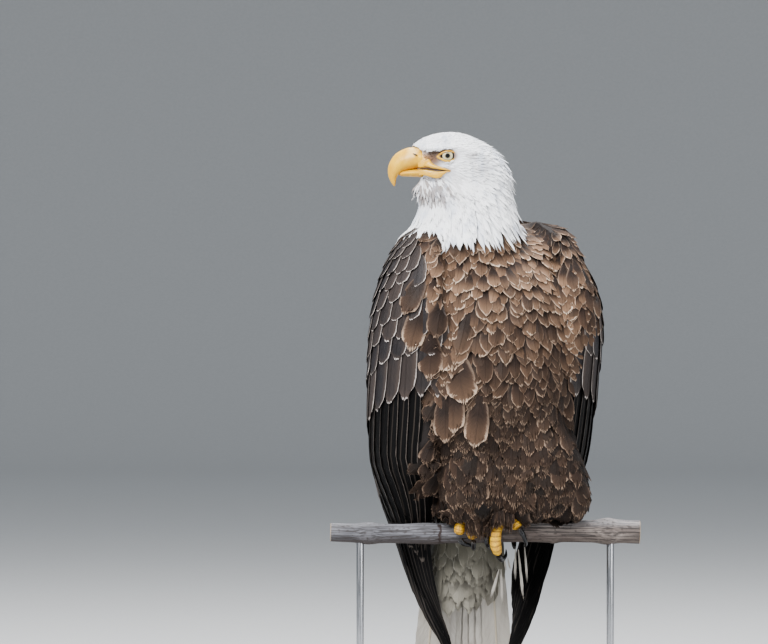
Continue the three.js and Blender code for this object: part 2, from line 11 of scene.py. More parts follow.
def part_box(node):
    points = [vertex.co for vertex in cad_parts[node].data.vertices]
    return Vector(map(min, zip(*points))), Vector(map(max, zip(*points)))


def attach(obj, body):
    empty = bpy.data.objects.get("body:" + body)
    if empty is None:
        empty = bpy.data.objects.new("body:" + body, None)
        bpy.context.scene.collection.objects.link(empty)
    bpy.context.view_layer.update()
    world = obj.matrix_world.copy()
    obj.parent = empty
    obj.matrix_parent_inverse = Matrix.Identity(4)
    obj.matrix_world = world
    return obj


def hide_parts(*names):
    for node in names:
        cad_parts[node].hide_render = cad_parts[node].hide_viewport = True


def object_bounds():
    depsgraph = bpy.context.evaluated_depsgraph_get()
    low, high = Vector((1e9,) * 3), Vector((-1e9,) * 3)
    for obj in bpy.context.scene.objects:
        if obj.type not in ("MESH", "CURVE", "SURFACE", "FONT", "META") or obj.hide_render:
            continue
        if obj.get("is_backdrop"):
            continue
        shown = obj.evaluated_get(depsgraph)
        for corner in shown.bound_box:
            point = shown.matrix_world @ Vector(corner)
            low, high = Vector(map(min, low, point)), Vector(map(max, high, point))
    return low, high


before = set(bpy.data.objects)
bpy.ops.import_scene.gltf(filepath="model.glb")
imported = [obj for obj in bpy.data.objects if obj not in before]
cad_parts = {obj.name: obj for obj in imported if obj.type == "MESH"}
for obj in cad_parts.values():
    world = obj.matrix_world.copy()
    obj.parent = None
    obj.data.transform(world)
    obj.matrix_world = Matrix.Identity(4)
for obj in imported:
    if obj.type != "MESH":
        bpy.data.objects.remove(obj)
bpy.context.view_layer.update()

MM = 0.001

# ==== Skin ==============================================================================
# The bird's skin lies under the coat, so it is the body's form drawn in by the depth of the
# feathers. It is one piece from the brow to the vent, with the upper arms of the folded wings
# in it, a bony ridge over each eye and a bare patch between the eye and the bill.
SIDES = {"left": 1, "right": -1}
BODY_TURN = math.radians(18)
HEAD_TURN = math.radians(5)
GRIP = Vector((0, -22, 272)) * MM             # on the branch's upper side, between the feet
HEAD_PLACE = GRIP + Vector((-33, -6, 424)) * MM

body_frame = Matrix.Translation(GRIP) @ Matrix.Rotation(BODY_TURN, 4, "Z")
ahead = Vector((-math.cos(HEAD_TURN), -math.sin(HEAD_TURN), 0))
head_left = Vector((0, 0, 1)).cross(ahead)
head_frame = Matrix.Translation(HEAD_PLACE) @ Matrix((ahead, head_left, (0, 0, 1))).transposed().to_4x4()

COAT_DEPTH = {"head": 2.0, "neck": 3.4, "trunk": 5.5, "vent": 6, "thigh": 5.5, "shoulder": 4,
              "secondaries": 9}
FLESH = ["head", "neck", "trunk", "vent", "thigh_left", "thigh_right"]
FLESH += [f"wing_{side}_{length}" for side in SIDES for length in ("shoulder", "secondaries")]


def seen_from(placing, points):
    """World points in a frame's own axes, in millimetres."""
    back = np.array(placing.inverted())
    return (points @ back[:3, :3].T + back[:3, 3]) / MM


def joined_copy(name, nodes):
    form = bmesh.new()
    for node in nodes:
        form.from_mesh(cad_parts[node].data)
    bmesh.ops.remove_doubles(form, verts=form.verts, dist=1e-6)
    return piece_from(name, form)


def piece_from(name, form):
    mesh = bpy.data.meshes.new(name)
    form.to_mesh(mesh)
    form.free()
    piece = bpy.data.objects.new(name, mesh)
    bpy.context.scene.collection.objects.link(piece)
    return piece


def settle(piece):
    """Applies a piece's modifiers."""
    bpy.context.view_layer.update()
    seen = piece.evaluated_get(bpy.context.evaluated_depsgraph_get())
    shaped = bpy.data.meshes.new_from_object(seen)
    piece.modifiers.clear()
    piece.data = shaped
    return piece


def remeshed(piece, voxel, smoothing):
    fine = piece.modifiers.new("one surface", "REMESH")
    fine.mode, fine.voxel_size = "VOXEL", voxel
    soft = piece.modifiers.new("soft", "SMOOTH")
    soft.factor, soft.iterations = 0.5, smoothing
    return settle(piece)


def vertex_array(mesh, what="co"):
    source = mesh.vertices if what == "co" else mesh.vertex_normals
    found = np.zeros(len(mesh.vertices) * 3, np.float32)
    source.foreach_get("co" if what == "co" else "vector", found)
    return found.reshape(-1, 3).astype(float)


def eased(value, low, high):
    share = np.clip((value - low) / (high - low), 0, 1)
    return share * share * (3 - 2 * share)


def spread_over(mesh, values, rounds):
    """Evens out one number per vertex with its neighbours."""
    ends = np.zeros(len(mesh.edges) * 2, np.int32)
    mesh.edges.foreach_get("vertices", ends)
    a, b = ends.reshape(-1, 2).T
    share = np.bincount(a, minlength=len(values)) + np.bincount(b, minlength=len(values))
    for _ in range(rounds):
        total = np.bincount(a, values[b], len(values)) + np.bincount(b, values[a], len(values))
        values = 0.5 * values + 0.5 * total / np.maximum(share, 1)
    return values


EYE = {"ahead": 15, "out": 21.5, "up": 19, "radius": 11.5}
skin = remeshed(joined_copy("skin", [*FLESH, "eye_left", "eye_right"]), 2.8 * MM, 9)
form = bmesh.new()
form.from_mesh(skin.data)
eye_places = [head_frame @ (Vector((EYE["ahead"], side * EYE["out"], EYE["up"])) * MM) for side in (1, -1)]
near_eyes = [e for e in form.edges if min((e.verts[0].co - place).length for place in eye_places) < 19 * MM]
bmesh.ops.subdivide_edges(form, edges=near_eyes, cuts=2, use_grid_fill=True)
bmesh.ops.triangulate(form, faces=[f for f in form.faces if len(f.verts) > 4])
form.to_mesh(skin.data)
form.free()

flesh_faces, flesh_names, flesh_points = [], [], []
for node in FLESH:
    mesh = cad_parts[node].data
    start = len(flesh_points)
    flesh_points += [v.co.copy() for v in mesh.vertices]
    flesh_faces += [[start + i for i in p.vertices] for p in mesh.polygons]
    flesh_names += [node] * len(mesh.polygons)
flesh_tree = BVHTree.FromPolygons(flesh_points, flesh_faces)

points = vertex_array(skin.data)
normals = vertex_array(skin.data, "normal")
owner = np.array([flesh_names[flesh_tree.find_nearest(p)[2]] for p in points])
depth = np.array([max(COAT_DEPTH.get(word, 0) for word in name.split("_")) for name in owner]) * MM
for i in np.flatnonzero([name.startswith("wing") for name in owner]):
    through = flesh_tree.ray_cast(points[i] - normals[i] * 0.2 * MM, -Vector(normals[i]), 0.06)[3]
    depth[i] = min(depth[i], 0.42 * through) if through else depth[i]
points -= normals * spread_over(skin.data, depth, 12)[:, None]


def shoulder_rise(spots):
    """The hunch of the left shoulder: how far each spot is moved up and outward."""
    at = (spots - np.array(GRIP)) / MM
    share = np.exp(-(((at[:, 0] - 92) / 26) ** 2) - (((at[:, 2] - 340) / 30) ** 2))
    return share[:, None] * np.array([5.5, 0, 10]) * MM


points += shoulder_rise(points)

# The ridge over the eye and the hollow that the eye sits in, in the head's own axes.
local = seen_from(head_frame, points)
side_of = np.sign(local[:, 1])
on_head = np.isin(owner, ["head", "neck"])
ridge = [(45, 15, 28), (38, 20, 27.5), (28, 25, 27.5), (18, 29, 29.5), (8, 31, 30.5), (-4, 33, 28.5),
         (-14, 34, 24)]
over_eye = np.full(len(local), 99.0)
mirrored = local * [1, 0, 1] + np.abs(local[:, 1])[:, None] * [0, 1, 0]
for start, end in zip(ridge, ridge[1:]):
    start, run = np.array(start), np.subtract(end, start)
    share = np.clip((mirrored - start) @ run / (run @ run), 0, 1)
    over_eye = np.minimum(over_eye, np.linalg.norm(mirrored - start - share[:, None] * run, axis=1))
from_eye = np.linalg.norm((mirrored - [EYE["ahead"], 30, EYE["up"] - 4]) / [1.15, 1, 0.8], axis=1)
swell = (4.2 + 3.0 * np.exp(-(((mirrored[:, 0] - 32) / 13) ** 2))) * np.exp(-((over_eye / 4.4) ** 2))
hollow = 1.6 * np.exp(-((from_eye / 10) ** 2))
lore = 3.4 * np.exp(-(np.linalg.norm((mirrored - [34, 22, 16]) / [10, 14, 8], axis=1) ** 2))
brow_front = 4.5 * np.exp(-(np.linalg.norm((mirrored - [54, 0, 31]) / [9, 16, 9], axis=1) ** 2))
chin = 4 * np.exp(-(np.linalg.norm((mirrored - [50, 0, -16]) / [14, 17, 14], axis=1) ** 2))
push = np.array(head_left)[None, :] * (side_of * on_head * (swell - hollow - lore) * MM)[:, None]
points += push + np.array(ahead)[None, :] * (on_head * (brow_front + chin) * MM)[:, None]

# Outside the lids the skin lies on the eyeball.
local = seen_from(head_frame, points)
across, up = local[:, 0] - EYE["ahead"], local[:, 2] - EYE["up"]
ball = EYE["out"] + np.sqrt(np.clip(EYE["radius"] ** 2 - across ** 2 - up ** 2, 0, None))
outside_lids = eased(np.hypot(across / 9.6, up / 6.0), 0.9, 1.12) * (np.hypot(across, up) < EYE["radius"])
bare = on_head * (np.abs(local[:, 1]) > 20) * outside_lids
raised = np.clip(ball + 0.7 - np.abs(local[:, 1]), 0, None) * bare
points += np.array(head_left)[None, :] * (side_of * raised * MM)[:, None]
skin.data.vertices.foreach_set("co", points.astype(np.float32).ravel())
skin.data.update()
skin.data.shade_smooth()

points, normals = vertex_array(skin.data), vertex_array(skin.data, "normal")
skin.data.calc_loop_triangles()
triangles = np.zeros(len(skin.data.loop_triangles) * 3, np.int32)
skin.data.loop_triangles.foreach_get("vertices", triangles)
triangles = triangles.reshape(-1, 3)
skin_tree = BVHTree.FromPolygons(points.tolist(), triangles.tolist())
face_normals = normals[triangles].sum(1)
face_normals /= np.linalg.norm(face_normals, axis=1)[:, None] + 1e-12
face_owner = owner[triangles[:, 0]]
corners = points[triangles]
face_areas = np.linalg.norm(np.cross(corners[:, 1] - corners[:, 0], corners[:, 2] - corners[:, 0]),
                            axis=1) / 2


def add(tree, kind, inputs=None, **settings):
    """A shader node with its settings and its inputs, which are values or other sockets."""
    made = tree.nodes.new(kind)
    for name, value in settings.items():
        setattr(made, name, value)
    for name, value in (inputs or {}).items():
        if isinstance(value, bpy.types.NodeSocket):
            tree.links.new(value, made.inputs[name])
        else:
            made.inputs[name].default_value = value
    return made


def maths(tree, operation, *values):
    return add(tree, "ShaderNodeMath", dict(enumerate(values)), operation=operation).outputs[0]


def times(tree, first, second):
    return maths(tree, "MULTIPLY", first, second)


def total_of(tree, first, second):
    return maths(tree, "ADD", first, second)


def rest_of(tree, share):
    """What is left of 1."""
    return maths(tree, "SUBTRACT", 1.0, share)


def ramped(tree, value, low, high):
    """0 below low and 1 above high, eased between them."""
    inputs = {"Value": value, "From Min": low, "From Max": high}
    return add(tree, "ShaderNodeMapRange", inputs, interpolation_type="SMOOTHSTEP").outputs[0]


def blended(tree, share, first, second):
    return add(tree, "ShaderNodeMix", {0: share, 6: first, 7: second}, data_type="RGBA").outputs[2]


def mottled(tree, place, scale, detail=2.0):
    return add(tree, "ShaderNodeTexNoise", {"Vector": place, "Scale": scale, "Detail": detail}).outputs[0]


def stretched(tree, place, x, y, z):
    inputs = {"Vector": place, "Scale": (x, y, z)}
    return add(tree, "ShaderNodeMapping", inputs).outputs[0]


def shade_of(red, green, blue):
    """A paint value from 0 to 255 as the renderer's own light value."""
    return (*(((c / 255 + 0.055) / 1.055) ** 2.4 for c in (red, green, blue)), 1)


def tinted(tree, colour, share, strength, shade):
    """A colour with some of another laid over it."""
    return blended(tree, times(tree, share, strength), colour, shade_of(*shade))


def surface(name, paint):
    """A new material whose colour, roughness and height come from paint(tree)."""
    made = bpy.data.materials.new(name)
    made.use_nodes = True
    tree = made.node_tree
    main = tree.nodes["Principled BSDF"]
    colour, roughness, height, depth, constants = paint(tree)
    tree.links.new(colour, main.inputs["Base Color"])
    tree.links.new(roughness, main.inputs["Roughness"])
    bump = add(tree, "ShaderNodeBump", {"Height": height, "Distance": depth, "Strength": 1.0})
    tree.links.new(bump.outputs[0], main.inputs["Normal"])
    for title, value in constants.items():
        main.inputs[title].default_value = value
    return made


def object_places(tree):
    return add(tree, "ShaderNodeTexCoord").outputs["Object"]


def skin_paint(tree):
    ground = add(tree, "ShaderNodeAttribute", attribute_name="ground")
    place = object_places(tree)
    fluff = mottled(tree, place, 420, 3)
    colour = blended(tree, fluff, ground.outputs["Color"], shade_of(120, 112, 110))
    colour = blended(tree, 0.93, colour, ground.outputs["Color"])
    return colour, ramped(tree, fluff, -1.2, 1.4), fluff, 0.0006, {"Specular IOR Level": 0.1}


GROUND = {"head": (214, 214, 218), "neck": (222, 222, 226), "trunk": (34, 25, 21), "vent": (92, 88, 74),
          "thigh": (40, 31, 27), "wing": (26, 22, 21)}
ground = np.array([shade_of(*GROUND[name.split("_")[0]]) for name in owner], np.float32)
local = seen_from(head_frame, points)
mirrored = local * [1, 0, 1] + np.abs(local) * [0, 1, 0]


# Bare, soft-edged patches on both sides of the face: the lore, the gape's root and round the eye,
# with a dark band under the brow that is painted shadow and a dark band along the mouth's parting
# that is painted shade.
BARE = [([34, 22, 15], [14, 14, 11], 4, (98, 74, 58)),
        ([46, 18, 8], [9, 16, 14], 4, (190, 130, 30)),
        ([EYE["ahead"], 26, EYE["up"]], [12.3, 14, 7.8], 8, (106, 83, 66)),
        # painted shadow under the brow, then painted shade along the mouth's parting
        ([34, 22, 24.6], [12, 14, 2.4], 4, (60, 48, 42)),
        ([30, 20, 2.6], [22, 16, 2.2], 4, (92, 58, 18))]
for middle, radii, power, colour in BARE:
    share = np.exp(-(np.linalg.norm((mirrored - middle) / radii, axis=1) ** power))[:, None]
    ground = ground * (1 - share) + np.array(shade_of(*colour), np.float32) * share
under = (on_head & ((local[:, 2] < -74) | ((local[:, 0] < -62) & (local[:, 2] < -45))))[:, None]
ground = ground * ~under + np.array(shade_of(*GROUND["trunk"])) * under


def hold(mesh, name, rows):
    """Keeps four numbers for each point of a mesh, for its material to read."""
    kept = mesh.attributes.new(name, "FLOAT_COLOR", "POINT").data
    kept.foreach_set("color", np.array(rows, np.float32).ravel())


hold(skin.data, "ground", ground)
skin.data.materials.append(surface("down", skin_paint))
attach(skin, "root")
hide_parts(*FLESH)

# ==== Coat ==============================================================================
# Each feather is a thin vane that bows over its shaft, with its root under the feathers above
# it and its tip over the ones below. A few blanks of each kind are shaped once, and a coat is
# a joined mesh of bent copies of them.


def vane_blank(columns, rows, width, fray=0.0, comb=0.0, seed=0, belly=0.5, tip=0.0):
    """A feather from a grid: its places across and along, its shape, triangles and rim."""
    form = bmesh.new()
    bmesh.ops.create_grid(form, x_segments=columns, y_segments=rows, size=1.0)
    upper = form.faces[:]
    for vert in form.verts:
        vert.co.z = 0.5 * (1 - abs(vert.co.x))
    under = bmesh.ops.duplicate(form, geom=form.verts[:] + form.edges[:] + upper)["geom"]
    below = [g for g in under if isinstance(g, bmesh.types.BMFace)]
    bmesh.ops.reverse_faces(form, faces=below)
    for vert in {v for face in below for v in face.verts}:
        inside = abs(vert.co.x) < 0.999 and abs(vert.co.y) < 0.999
        vert.co.z = -belly if inside else vert.co.z
    bmesh.ops.remove_doubles(form, verts=form.verts, dist=1e-4)
    bmesh.ops.triangulate(form, faces=form.faces[:])
    form.verts.ensure_lookup_table()
    grid = np.array([v.co for v in form.verts])
    faces = np.array([[v.index for v in f.verts] for f in form.faces])
    form.free()
    across, along = grid[:, 0], (grid[:, 1] + 1) / 2
    rim = (np.abs(across) > 0.999) | (np.abs(grid[:, 1]) > 0.999)
    draw = np.random.RandomState(seed)
    column = np.round((across + 1) / 2 * columns).astype(int)
    row = np.round(along * rows).astype(int)
    ragged = draw.uniform(-1, 1, (columns + 1, rows + 1))[column, row]
    tooth = np.where(column % 2 == 0, 0.0, 1.0) * np.clip((along - 0.6) / 0.4, 0, 1) ** 2
    tooth = tooth * draw.uniform(0.3, 1.4, columns + 1)[column]
    shape = np.stack([
        across * np.interp(along, *zip(*width)) * (1 + fray * ragged * rim),
        along - tip * across ** 2 * along ** 4 + (fray * 0.5 * ragged - comb * tooth) * along ** 3,
        grid[:, 2],
    ], axis=1)
    return {"grid": np.stack([across, along], axis=1), "shape": shape, "faces": faces, "rim": rim}


def scattered(faces, spacing, seed, most=60000, closer=1.0):
    """Roots spread over some of the skin's triangles, spacing(points) apart, and closer upwards."""
    draw = np.random.RandomState(seed)
    area = face_areas[faces]
    middle = points[triangles[faces]].mean(1)
    need = closer * area / (spacing(middle) ** 2 * 0.12)
    count = int(min(most, need.sum()))
    picked = faces[draw.choice(len(faces), count, p=need / need.sum())]
    a, b = draw.uniform(0, 1, (2, count))
    a, b = np.where(a + b > 1, 1 - a, a), np.where(a + b > 1, 1 - b, b)
    c = corners[picked]
    spots = c[:, 0] + a[:, None] * (c[:, 1] - c[:, 0]) + b[:, None] * (c[:, 2] - c[:, 0])
    apart = spacing(spots)
    tree, level = KDTree(count), spots * [1, 1, closer]
    for i, spot in enumerate(level):
        tree.insert(spot, i)
    tree.balance()
    taken, kept = np.zeros(count, bool), []
    for i in range(count):
        if taken[i]:
            continue
        kept.append(i)
        for _, j, _ in tree.find_range(level[i], apart[i]):
            taken[j] = True
    return spots[kept]


def nearest_skin(spot):
    place, _, face, _ = skin_tree.find_nearest(spot)
    return place, Vector(face_normals[face])


def spines(roots, flow, lengths, stations=6, stiffness=0.35, sway=0.12, seed=0):
    """Bends each feather's shaft down along the skin, a little straighter than the skin is."""
    draw = np.random.RandomState(seed)
    headings = np.array([flow(r) for r in roots])
    yaw = draw.normal(0, sway, len(roots))
    shafts = np.zeros((len(roots), stations, 3))
    ups = np.zeros_like(shafts)
    for i, root in enumerate(roots):
        spot, up = nearest_skin(root)
        heading = Vector(headings[i])
        heading = (heading - up * heading.dot(up)).normalized()
        heading.rotate(Matrix.Rotation(yaw[i], 3, up))
        step = lengths[i] / (stations - 1)
        straight, course = spot.copy(), heading.copy()
        for k in range(stations):
            mix = stiffness * (k / (stations - 1))
            shafts[i, k] = spot.lerp(straight, mix)
            ups[i, k] = up
            heading = (heading - up * heading.dot(up)).normalized()
            straight = straight + course * step
            spot, up = nearest_skin(spot + heading * step)
    return shafts, ups


def laid_coat(name, blanks, shafts, ups, half_widths, lift, tone, unwrap, thickness=0.5 * MM,
              bow=0.25, hand=None, roll=0.0, seed=0, material=None):
    """One joined mesh of feathers, with their own map, their tones and the bake's patches."""
    draw = np.random.RandomState(seed)
    pick = draw.randint(0, len(blanks), len(shafts))
    stations = shafts.shape[1]
    hand = np.ones(len(shafts)) if hand is None else hand
    places, tris, grids, tones, patches, rims, total = [], [], [], [], [], [], 0
    for b, blank in enumerate(blanks):
        chosen = np.flatnonzero(pick == b)
        if not len(chosen):
            continue
        shape = blank["shape"]
        at = np.clip(shape[:, 1], 0, 1.2) * (stations - 1)
        low = np.clip(np.floor(at).astype(int), 0, stations - 2)
        share = (at - low)[None, :, None]
        shaft, up = shafts[chosen], ups[chosen]
        course = np.gradient(shaft, axis=1)
        course /= np.linalg.norm(course, axis=2, keepdims=True) + 1e-12
        spine = shaft[:, low] * (1 - share) + shaft[:, low + 1] * share
        raised = up[:, low] * (1 - share) + up[:, low + 1] * share
        line = course[:, low] * (1 - share) + course[:, low + 1] * share
        side = np.cross(line, raised)
        side /= np.linalg.norm(side, axis=2, keepdims=True) + 1e-12
        raised = np.cross(side, line)
        raised /= np.linalg.norm(raised, axis=2, keepdims=True) + 1e-12
        half = half_widths[chosen][:, None, None]
        out = shape[None, :, 0, None] * half * hand[chosen][:, None, None]
        height = lift(shape[None, :, 1], chosen)[:, :, None]
        height = height + shape[None, :, 2, None] * thickness
        height = height - bow * half * shape[None, :, 0, None] ** 2 + roll * half * shape[None, :, 0, None]
        place = spine + side * out + raised * height
        grid = np.broadcast_to(blank["grid"], (len(chosen), *blank["grid"].shape))
        patch = unwrap(shaft[:, 0])[:, None] + (grid * [0.5, 1] - [0, 0.5]) * 0.003
        count = len(shape)
        starts = total + np.arange(len(chosen))[:, None, None] * count
        places.append(place.reshape(-1, 3))
        tris.append((blank["faces"][None] + starts).reshape(-1, 3))
        grids.append(grid.reshape(-1, 2))
        tones.append(np.repeat(tone[chosen], count, axis=0))
        patches.append(patch.reshape(-1, 2))
        rims.append(np.tile(blank["rim"], len(chosen)))
        total += count * len(chosen)
    places, tris, grids = np.concatenate(places), np.concatenate(tris), np.concatenate(grids)
    if hand[0] < 0:
        tris = tris[:, ::-1]
    mesh = bpy.data.meshes.new(name)
    mesh.vertices.add(len(places))
    mesh.vertices.foreach_set("co", places.astype(np.float32).ravel())
    mesh.loops.add(len(tris) * 3)
    mesh.loops.foreach_set("vertex_index", tris.astype(np.int32).ravel())
    mesh.polygons.add(len(tris))
    mesh.polygons.foreach_set("loop_start", np.arange(0, len(tris) * 3, 3, dtype=np.int32))
    mesh.update(calc_edges=True)
    mesh.shade_smooth()
    loops = tris.ravel()
    for title, values in (("Vane", grids * [0.5, 1] + [0.5, 0]), ("OFBake", np.concatenate(patches))):
        mesh.uv_layers.new(name=title).uv.foreach_set("vector", values[loops].astype(np.float32).ravel())
    hold(mesh, "tone", np.concatenate(tones))
    ends = np.zeros(len(mesh.edges) * 2, np.int32)
    mesh.edges.foreach_get("vertices", ends)
    sharp = np.concatenate(rims)[ends].reshape(-1, 2).all(1)
    mesh.attributes.new("sharp_edge", "BOOLEAN", "EDGE").data.foreach_set("value", sharp)
    coat = bpy.data.objects.new(name, mesh)
    bpy.context.scene.collection.objects.link(coat)
    mesh.materials.append(material)
    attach(coat, "root")
    return coat


vane = bpy.data.node_groups.new("Vane", "ShaderNodeTree")
for title in ("Side", "Along", "Inward", "Edge", "Rachis", "Barbs", "Random", "Second", "Region", "Shade"):
    vane.interface.new_socket(title, in_out="OUTPUT", socket_type="NodeSocketFloat")
for title, usual in (("Tip length", 3.4), ("Rim", 0.3), ("Barb slant", 0.3)):
    vane.interface.new_socket(title, in_out="INPUT", socket_type="NodeSocketFloat").default_value = usual
given, ends = vane.nodes.new("NodeGroupInput"), vane.nodes.new("NodeGroupOutput")
own = add(vane, "ShaderNodeSeparateXYZ", {0: add(vane, "ShaderNodeUVMap", uv_map="Vane").outputs[0]})
tone = add(vane, "ShaderNodeAttribute", attribute_name="tone")
kinds = add(vane, "ShaderNodeSeparateColor", {0: tone.outputs["Color"]})
side = times(vane, maths(vane, "ABSOLUTE", maths(vane, "SUBTRACT", own.outputs[0], 0.5)), 2.0)
along = own.outputs[1]
course = maths(vane, "SUBTRACT", along, times(vane, side, given.outputs["Barb slant"]))
lane = add(vane, "ShaderNodeCombineXYZ", {0: times(vane, course, 9.0),
                                          1: times(vane, side, 0.35),
                                          2: times(vane, kinds.outputs[0], 41.0)})
fine = mottled(vane, lane.outputs[0], 5.5, 4)
barbs = ramped(vane, fine, 0.3, 0.7)
broad = mottled(vane, lane.outputs[0], 1.1, 2)
inward = maths(vane, "SMOOTH_MIN", rest_of(vane, side),
               times(vane, rest_of(vane, along), given.outputs["Tip length"]), 0.12)
rim = times(vane, given.outputs["Rim"],
            total_of(vane, 0.45, times(vane, kinds.outputs[1], 0.95)))
wander = times(vane, total_of(vane, maths(vane, "SUBTRACT", fine, 0.5),
                                       maths(vane, "SUBTRACT", broad, 0.5)), 1.3)
inward = total_of(vane, inward, times(vane, wander, rim))
edge = ramped(vane, rest_of(vane, maths(vane, "DIVIDE", inward, rim)), 0.0, 0.7)
rachis = rest_of(vane, ramped(vane, side, 0.03, 0.11))
for title, socket in (("Side", side), ("Along", along), ("Inward", inward), ("Edge", edge),
                      ("Rachis", rachis), ("Barbs", barbs),
                      ("Random", kinds.outputs[0]), ("Second", kinds.outputs[1]),
                      ("Region", kinds.outputs[2]),
                      ("Shade", tone.outputs["Alpha"])):
    vane.links.new(socket, ends.inputs[title])


def vane_of(tree, tip_length, rim, slant=0.3):
    inputs = {"Tip length": tip_length, "Rim": rim, "Barb slant": slant}
    made = add(tree, "ShaderNodeGroup", node_tree=vane)
    for title, value in inputs.items():
        made.inputs[title].default_value = value
    return made.outputs


def white_paint(tree):
    look = vane_of(tree, 6.0, 0.4)
    # Painted shade: a little greyer toward each feather's root, where the feathers overlap.
    colour = blended(tree, look["Along"], shade_of(240, 242, 246), shade_of(255, 255, 255))
    colour = tinted(tree, colour, look["Barbs"], 0.25, (226, 228, 233))
    colour = tinted(tree, colour, look["Random"], 0.2, (232, 234, 238))
    # Painted shade from each feather's Shade value.
    colour = blended(tree, look["Shade"], colour, shade_of(128, 118, 114))
    # Painted cool shade: soft blue-grey streaks over the white.
    cool = mottled(tree, stretched(tree, object_places(tree), 70, 70, 16), 1.0, 3)
    colour = tinted(tree, colour, ramped(tree, cool, 0.48, 0.7), 0.55, (184, 193, 210))
    height = total_of(tree, look["Barbs"], look["Rachis"])
    roughness = ramped(tree, look["Random"], -3.0, 2.2)
    return colour, roughness, height, 0.00015, {"Specular IOR Level": 0.2}


def brown_paint(tree):
    look = vane_of(tree, 3.2, 0.2)
    place = object_places(tree)
    cast = mottled(tree, place, 14, 2)
    dark = blended(tree, look["Random"], shade_of(11, 8, 8), shade_of(31, 22, 19))
    dark = blended(tree, ramped(tree, cast, 0.35, 0.7), dark, shade_of(30, 21, 17))
    dark = tinted(tree, dark, look["Barbs"], 0.3, (56, 42, 34))
    pale = times(tree, look["Region"], ramped(tree, look["Along"], 0.3, 0.95))
    outer = rest_of(tree, ramped(tree, look["Inward"], 0.0, 0.6))
    broad = times(tree, outer, total_of(tree, 0.2, times(tree, pale, 0.8)))
    web = blended(tree, broad, dark, shade_of(90, 67, 54))
    web = tinted(tree, web, pale, 0.7, (150, 116, 90))
    tip = ramped(tree, look["Along"], 0.5, 0.9)
    worn = times(tree, look["Edge"], total_of(tree, 0.45, times(tree, look["Second"], 0.55)))
    worn = times(tree, worn, total_of(tree, 0.2, times(tree, tip, 0.8)))
    rim = blended(tree, look["Region"], shade_of(142, 116, 96), shade_of(232, 208, 184))
    colour = blended(tree, worn, web, rim)
    colour = tinted(tree, colour, look["Rachis"], 0.2, (40, 30, 26))
    # Each feather's Shade value darkens it: painted shade on the lower body, and a random darker tone on the
    # flank feathers, fringes and bristles.
    colour = blended(tree, look["Shade"], colour, shade_of(9, 7, 6))
    height = total_of(tree, look["Barbs"], times(tree, look["Rachis"], 1.2))
    roughness = ramped(tree, look["Random"], -2.4, 2.2)
    return colour, roughness, height, 0.0003, {"Specular IOR Level": 0.14}


white_feather = surface("white feathers", white_paint)
brown_feather = surface("brown feathers", brown_paint)


def round_body(spots):
    """A place on the skin unrolled round the body's upright line."""
    at = seen_from(body_frame, spots)
    turn = np.arctan2(at[:, 0], -at[:, 1] + 15) / (2 * math.pi) + 0.5
    return np.stack([0.01 + 0.98 * turn, np.clip((at[:, 2] + 260) / 740, 0.01, 0.99)], axis=1)


def round_head(spots):
    """A place on the skin unrolled round the line of the bill."""
    at = seen_from(head_frame, spots)
    turn = np.arctan2(at[:, 1], at[:, 2] - 5) / (2 * math.pi) + 0.5
    back = np.clip((60 - at[:, 0] + np.clip(-at[:, 2], 0, 150)) / 260, 0.01, 0.99)
    return np.stack([0.01 + 0.98 * turn, back], axis=1)


def head_flow(spot):
    """Feathers run back from the bill over the head, and down the neck."""
    at = seen_from(head_frame, np.array(spot)[None])[0]
    away = Vector(at) - Vector((62, 0, 20))
    away.normalize()
    fall = np.clip((6 - at[2]) / 60, 0, 1) * 1.6 + np.clip((-at[0] - 25) / 30, 0, 1) * 0.5
    heading = Vector(away) + Vector((0, 0, -1)) * fall
    return head_frame.to_3x3() @ heading


def body_flow(spot):
    at = seen_from(body_frame, np.array(spot)[None])[0]
    heading = Vector((0.0022 * at[0], 0.12, -1))
    return body_frame.to_3x3() @ heading


def owned(*kinds):
    return np.flatnonzero([name.split("_")[0] in kinds for name in face_owner])


white_faces = owned("head", "neck")
middles = seen_from(head_frame, points[triangles[white_faces]].mean(1))


def white_scale(spots):
    """How big the white feathers are: 0 at the bill and the eye, 1 on the collar."""
    at = seen_from(head_frame, spots)
    back = np.clip((46 - at[:, 0]) / 110, 0, 1)
    down = np.clip((4 - at[:, 2]) / 62, 0, 1)
    return np.clip(0.5 * back + 0.9 * down, 0, 1)


def white_spacing(spots):
    return (1.8 + 2.5 * white_scale(spots) ** 1.2) * MM


draw = np.random.RandomState(2)
mirrored = np.abs(middles * [0, 1, 0]) + middles * [1, 0, 1]
eye_clear = np.linalg.norm((mirrored - [EYE["ahead"], 30, EYE["up"]]) / [11.6, 30, 8.0], axis=1) > 1
lore_clear = np.linalg.norm((mirrored - [35, 22, 14.5]) / [14, 30, 10], axis=1) > 1
bill_clear = (middles[:, 0] < 43) | (middles[:, 2] > 25) | (middles[:, 2] < -6)
gape_clear = (middles[:, 0] < 10) | (np.abs(middles[:, 2] - 1.5) > 5) | (mirrored[:, 1] < 10)
hem = -67 + 3 * np.sin(middles[:, 0] / 9) * np.cos(middles[:, 1] / 11)
hem += 13 * np.clip((-middles[:, 0] - 35) / 30, 0, 1) + 3 * eased(middles[:, 0], 15, 48)
collar = middles[:, 2] > hem
feathered = white_faces[eye_clear & lore_clear & bill_clear & gape_clear & collar]

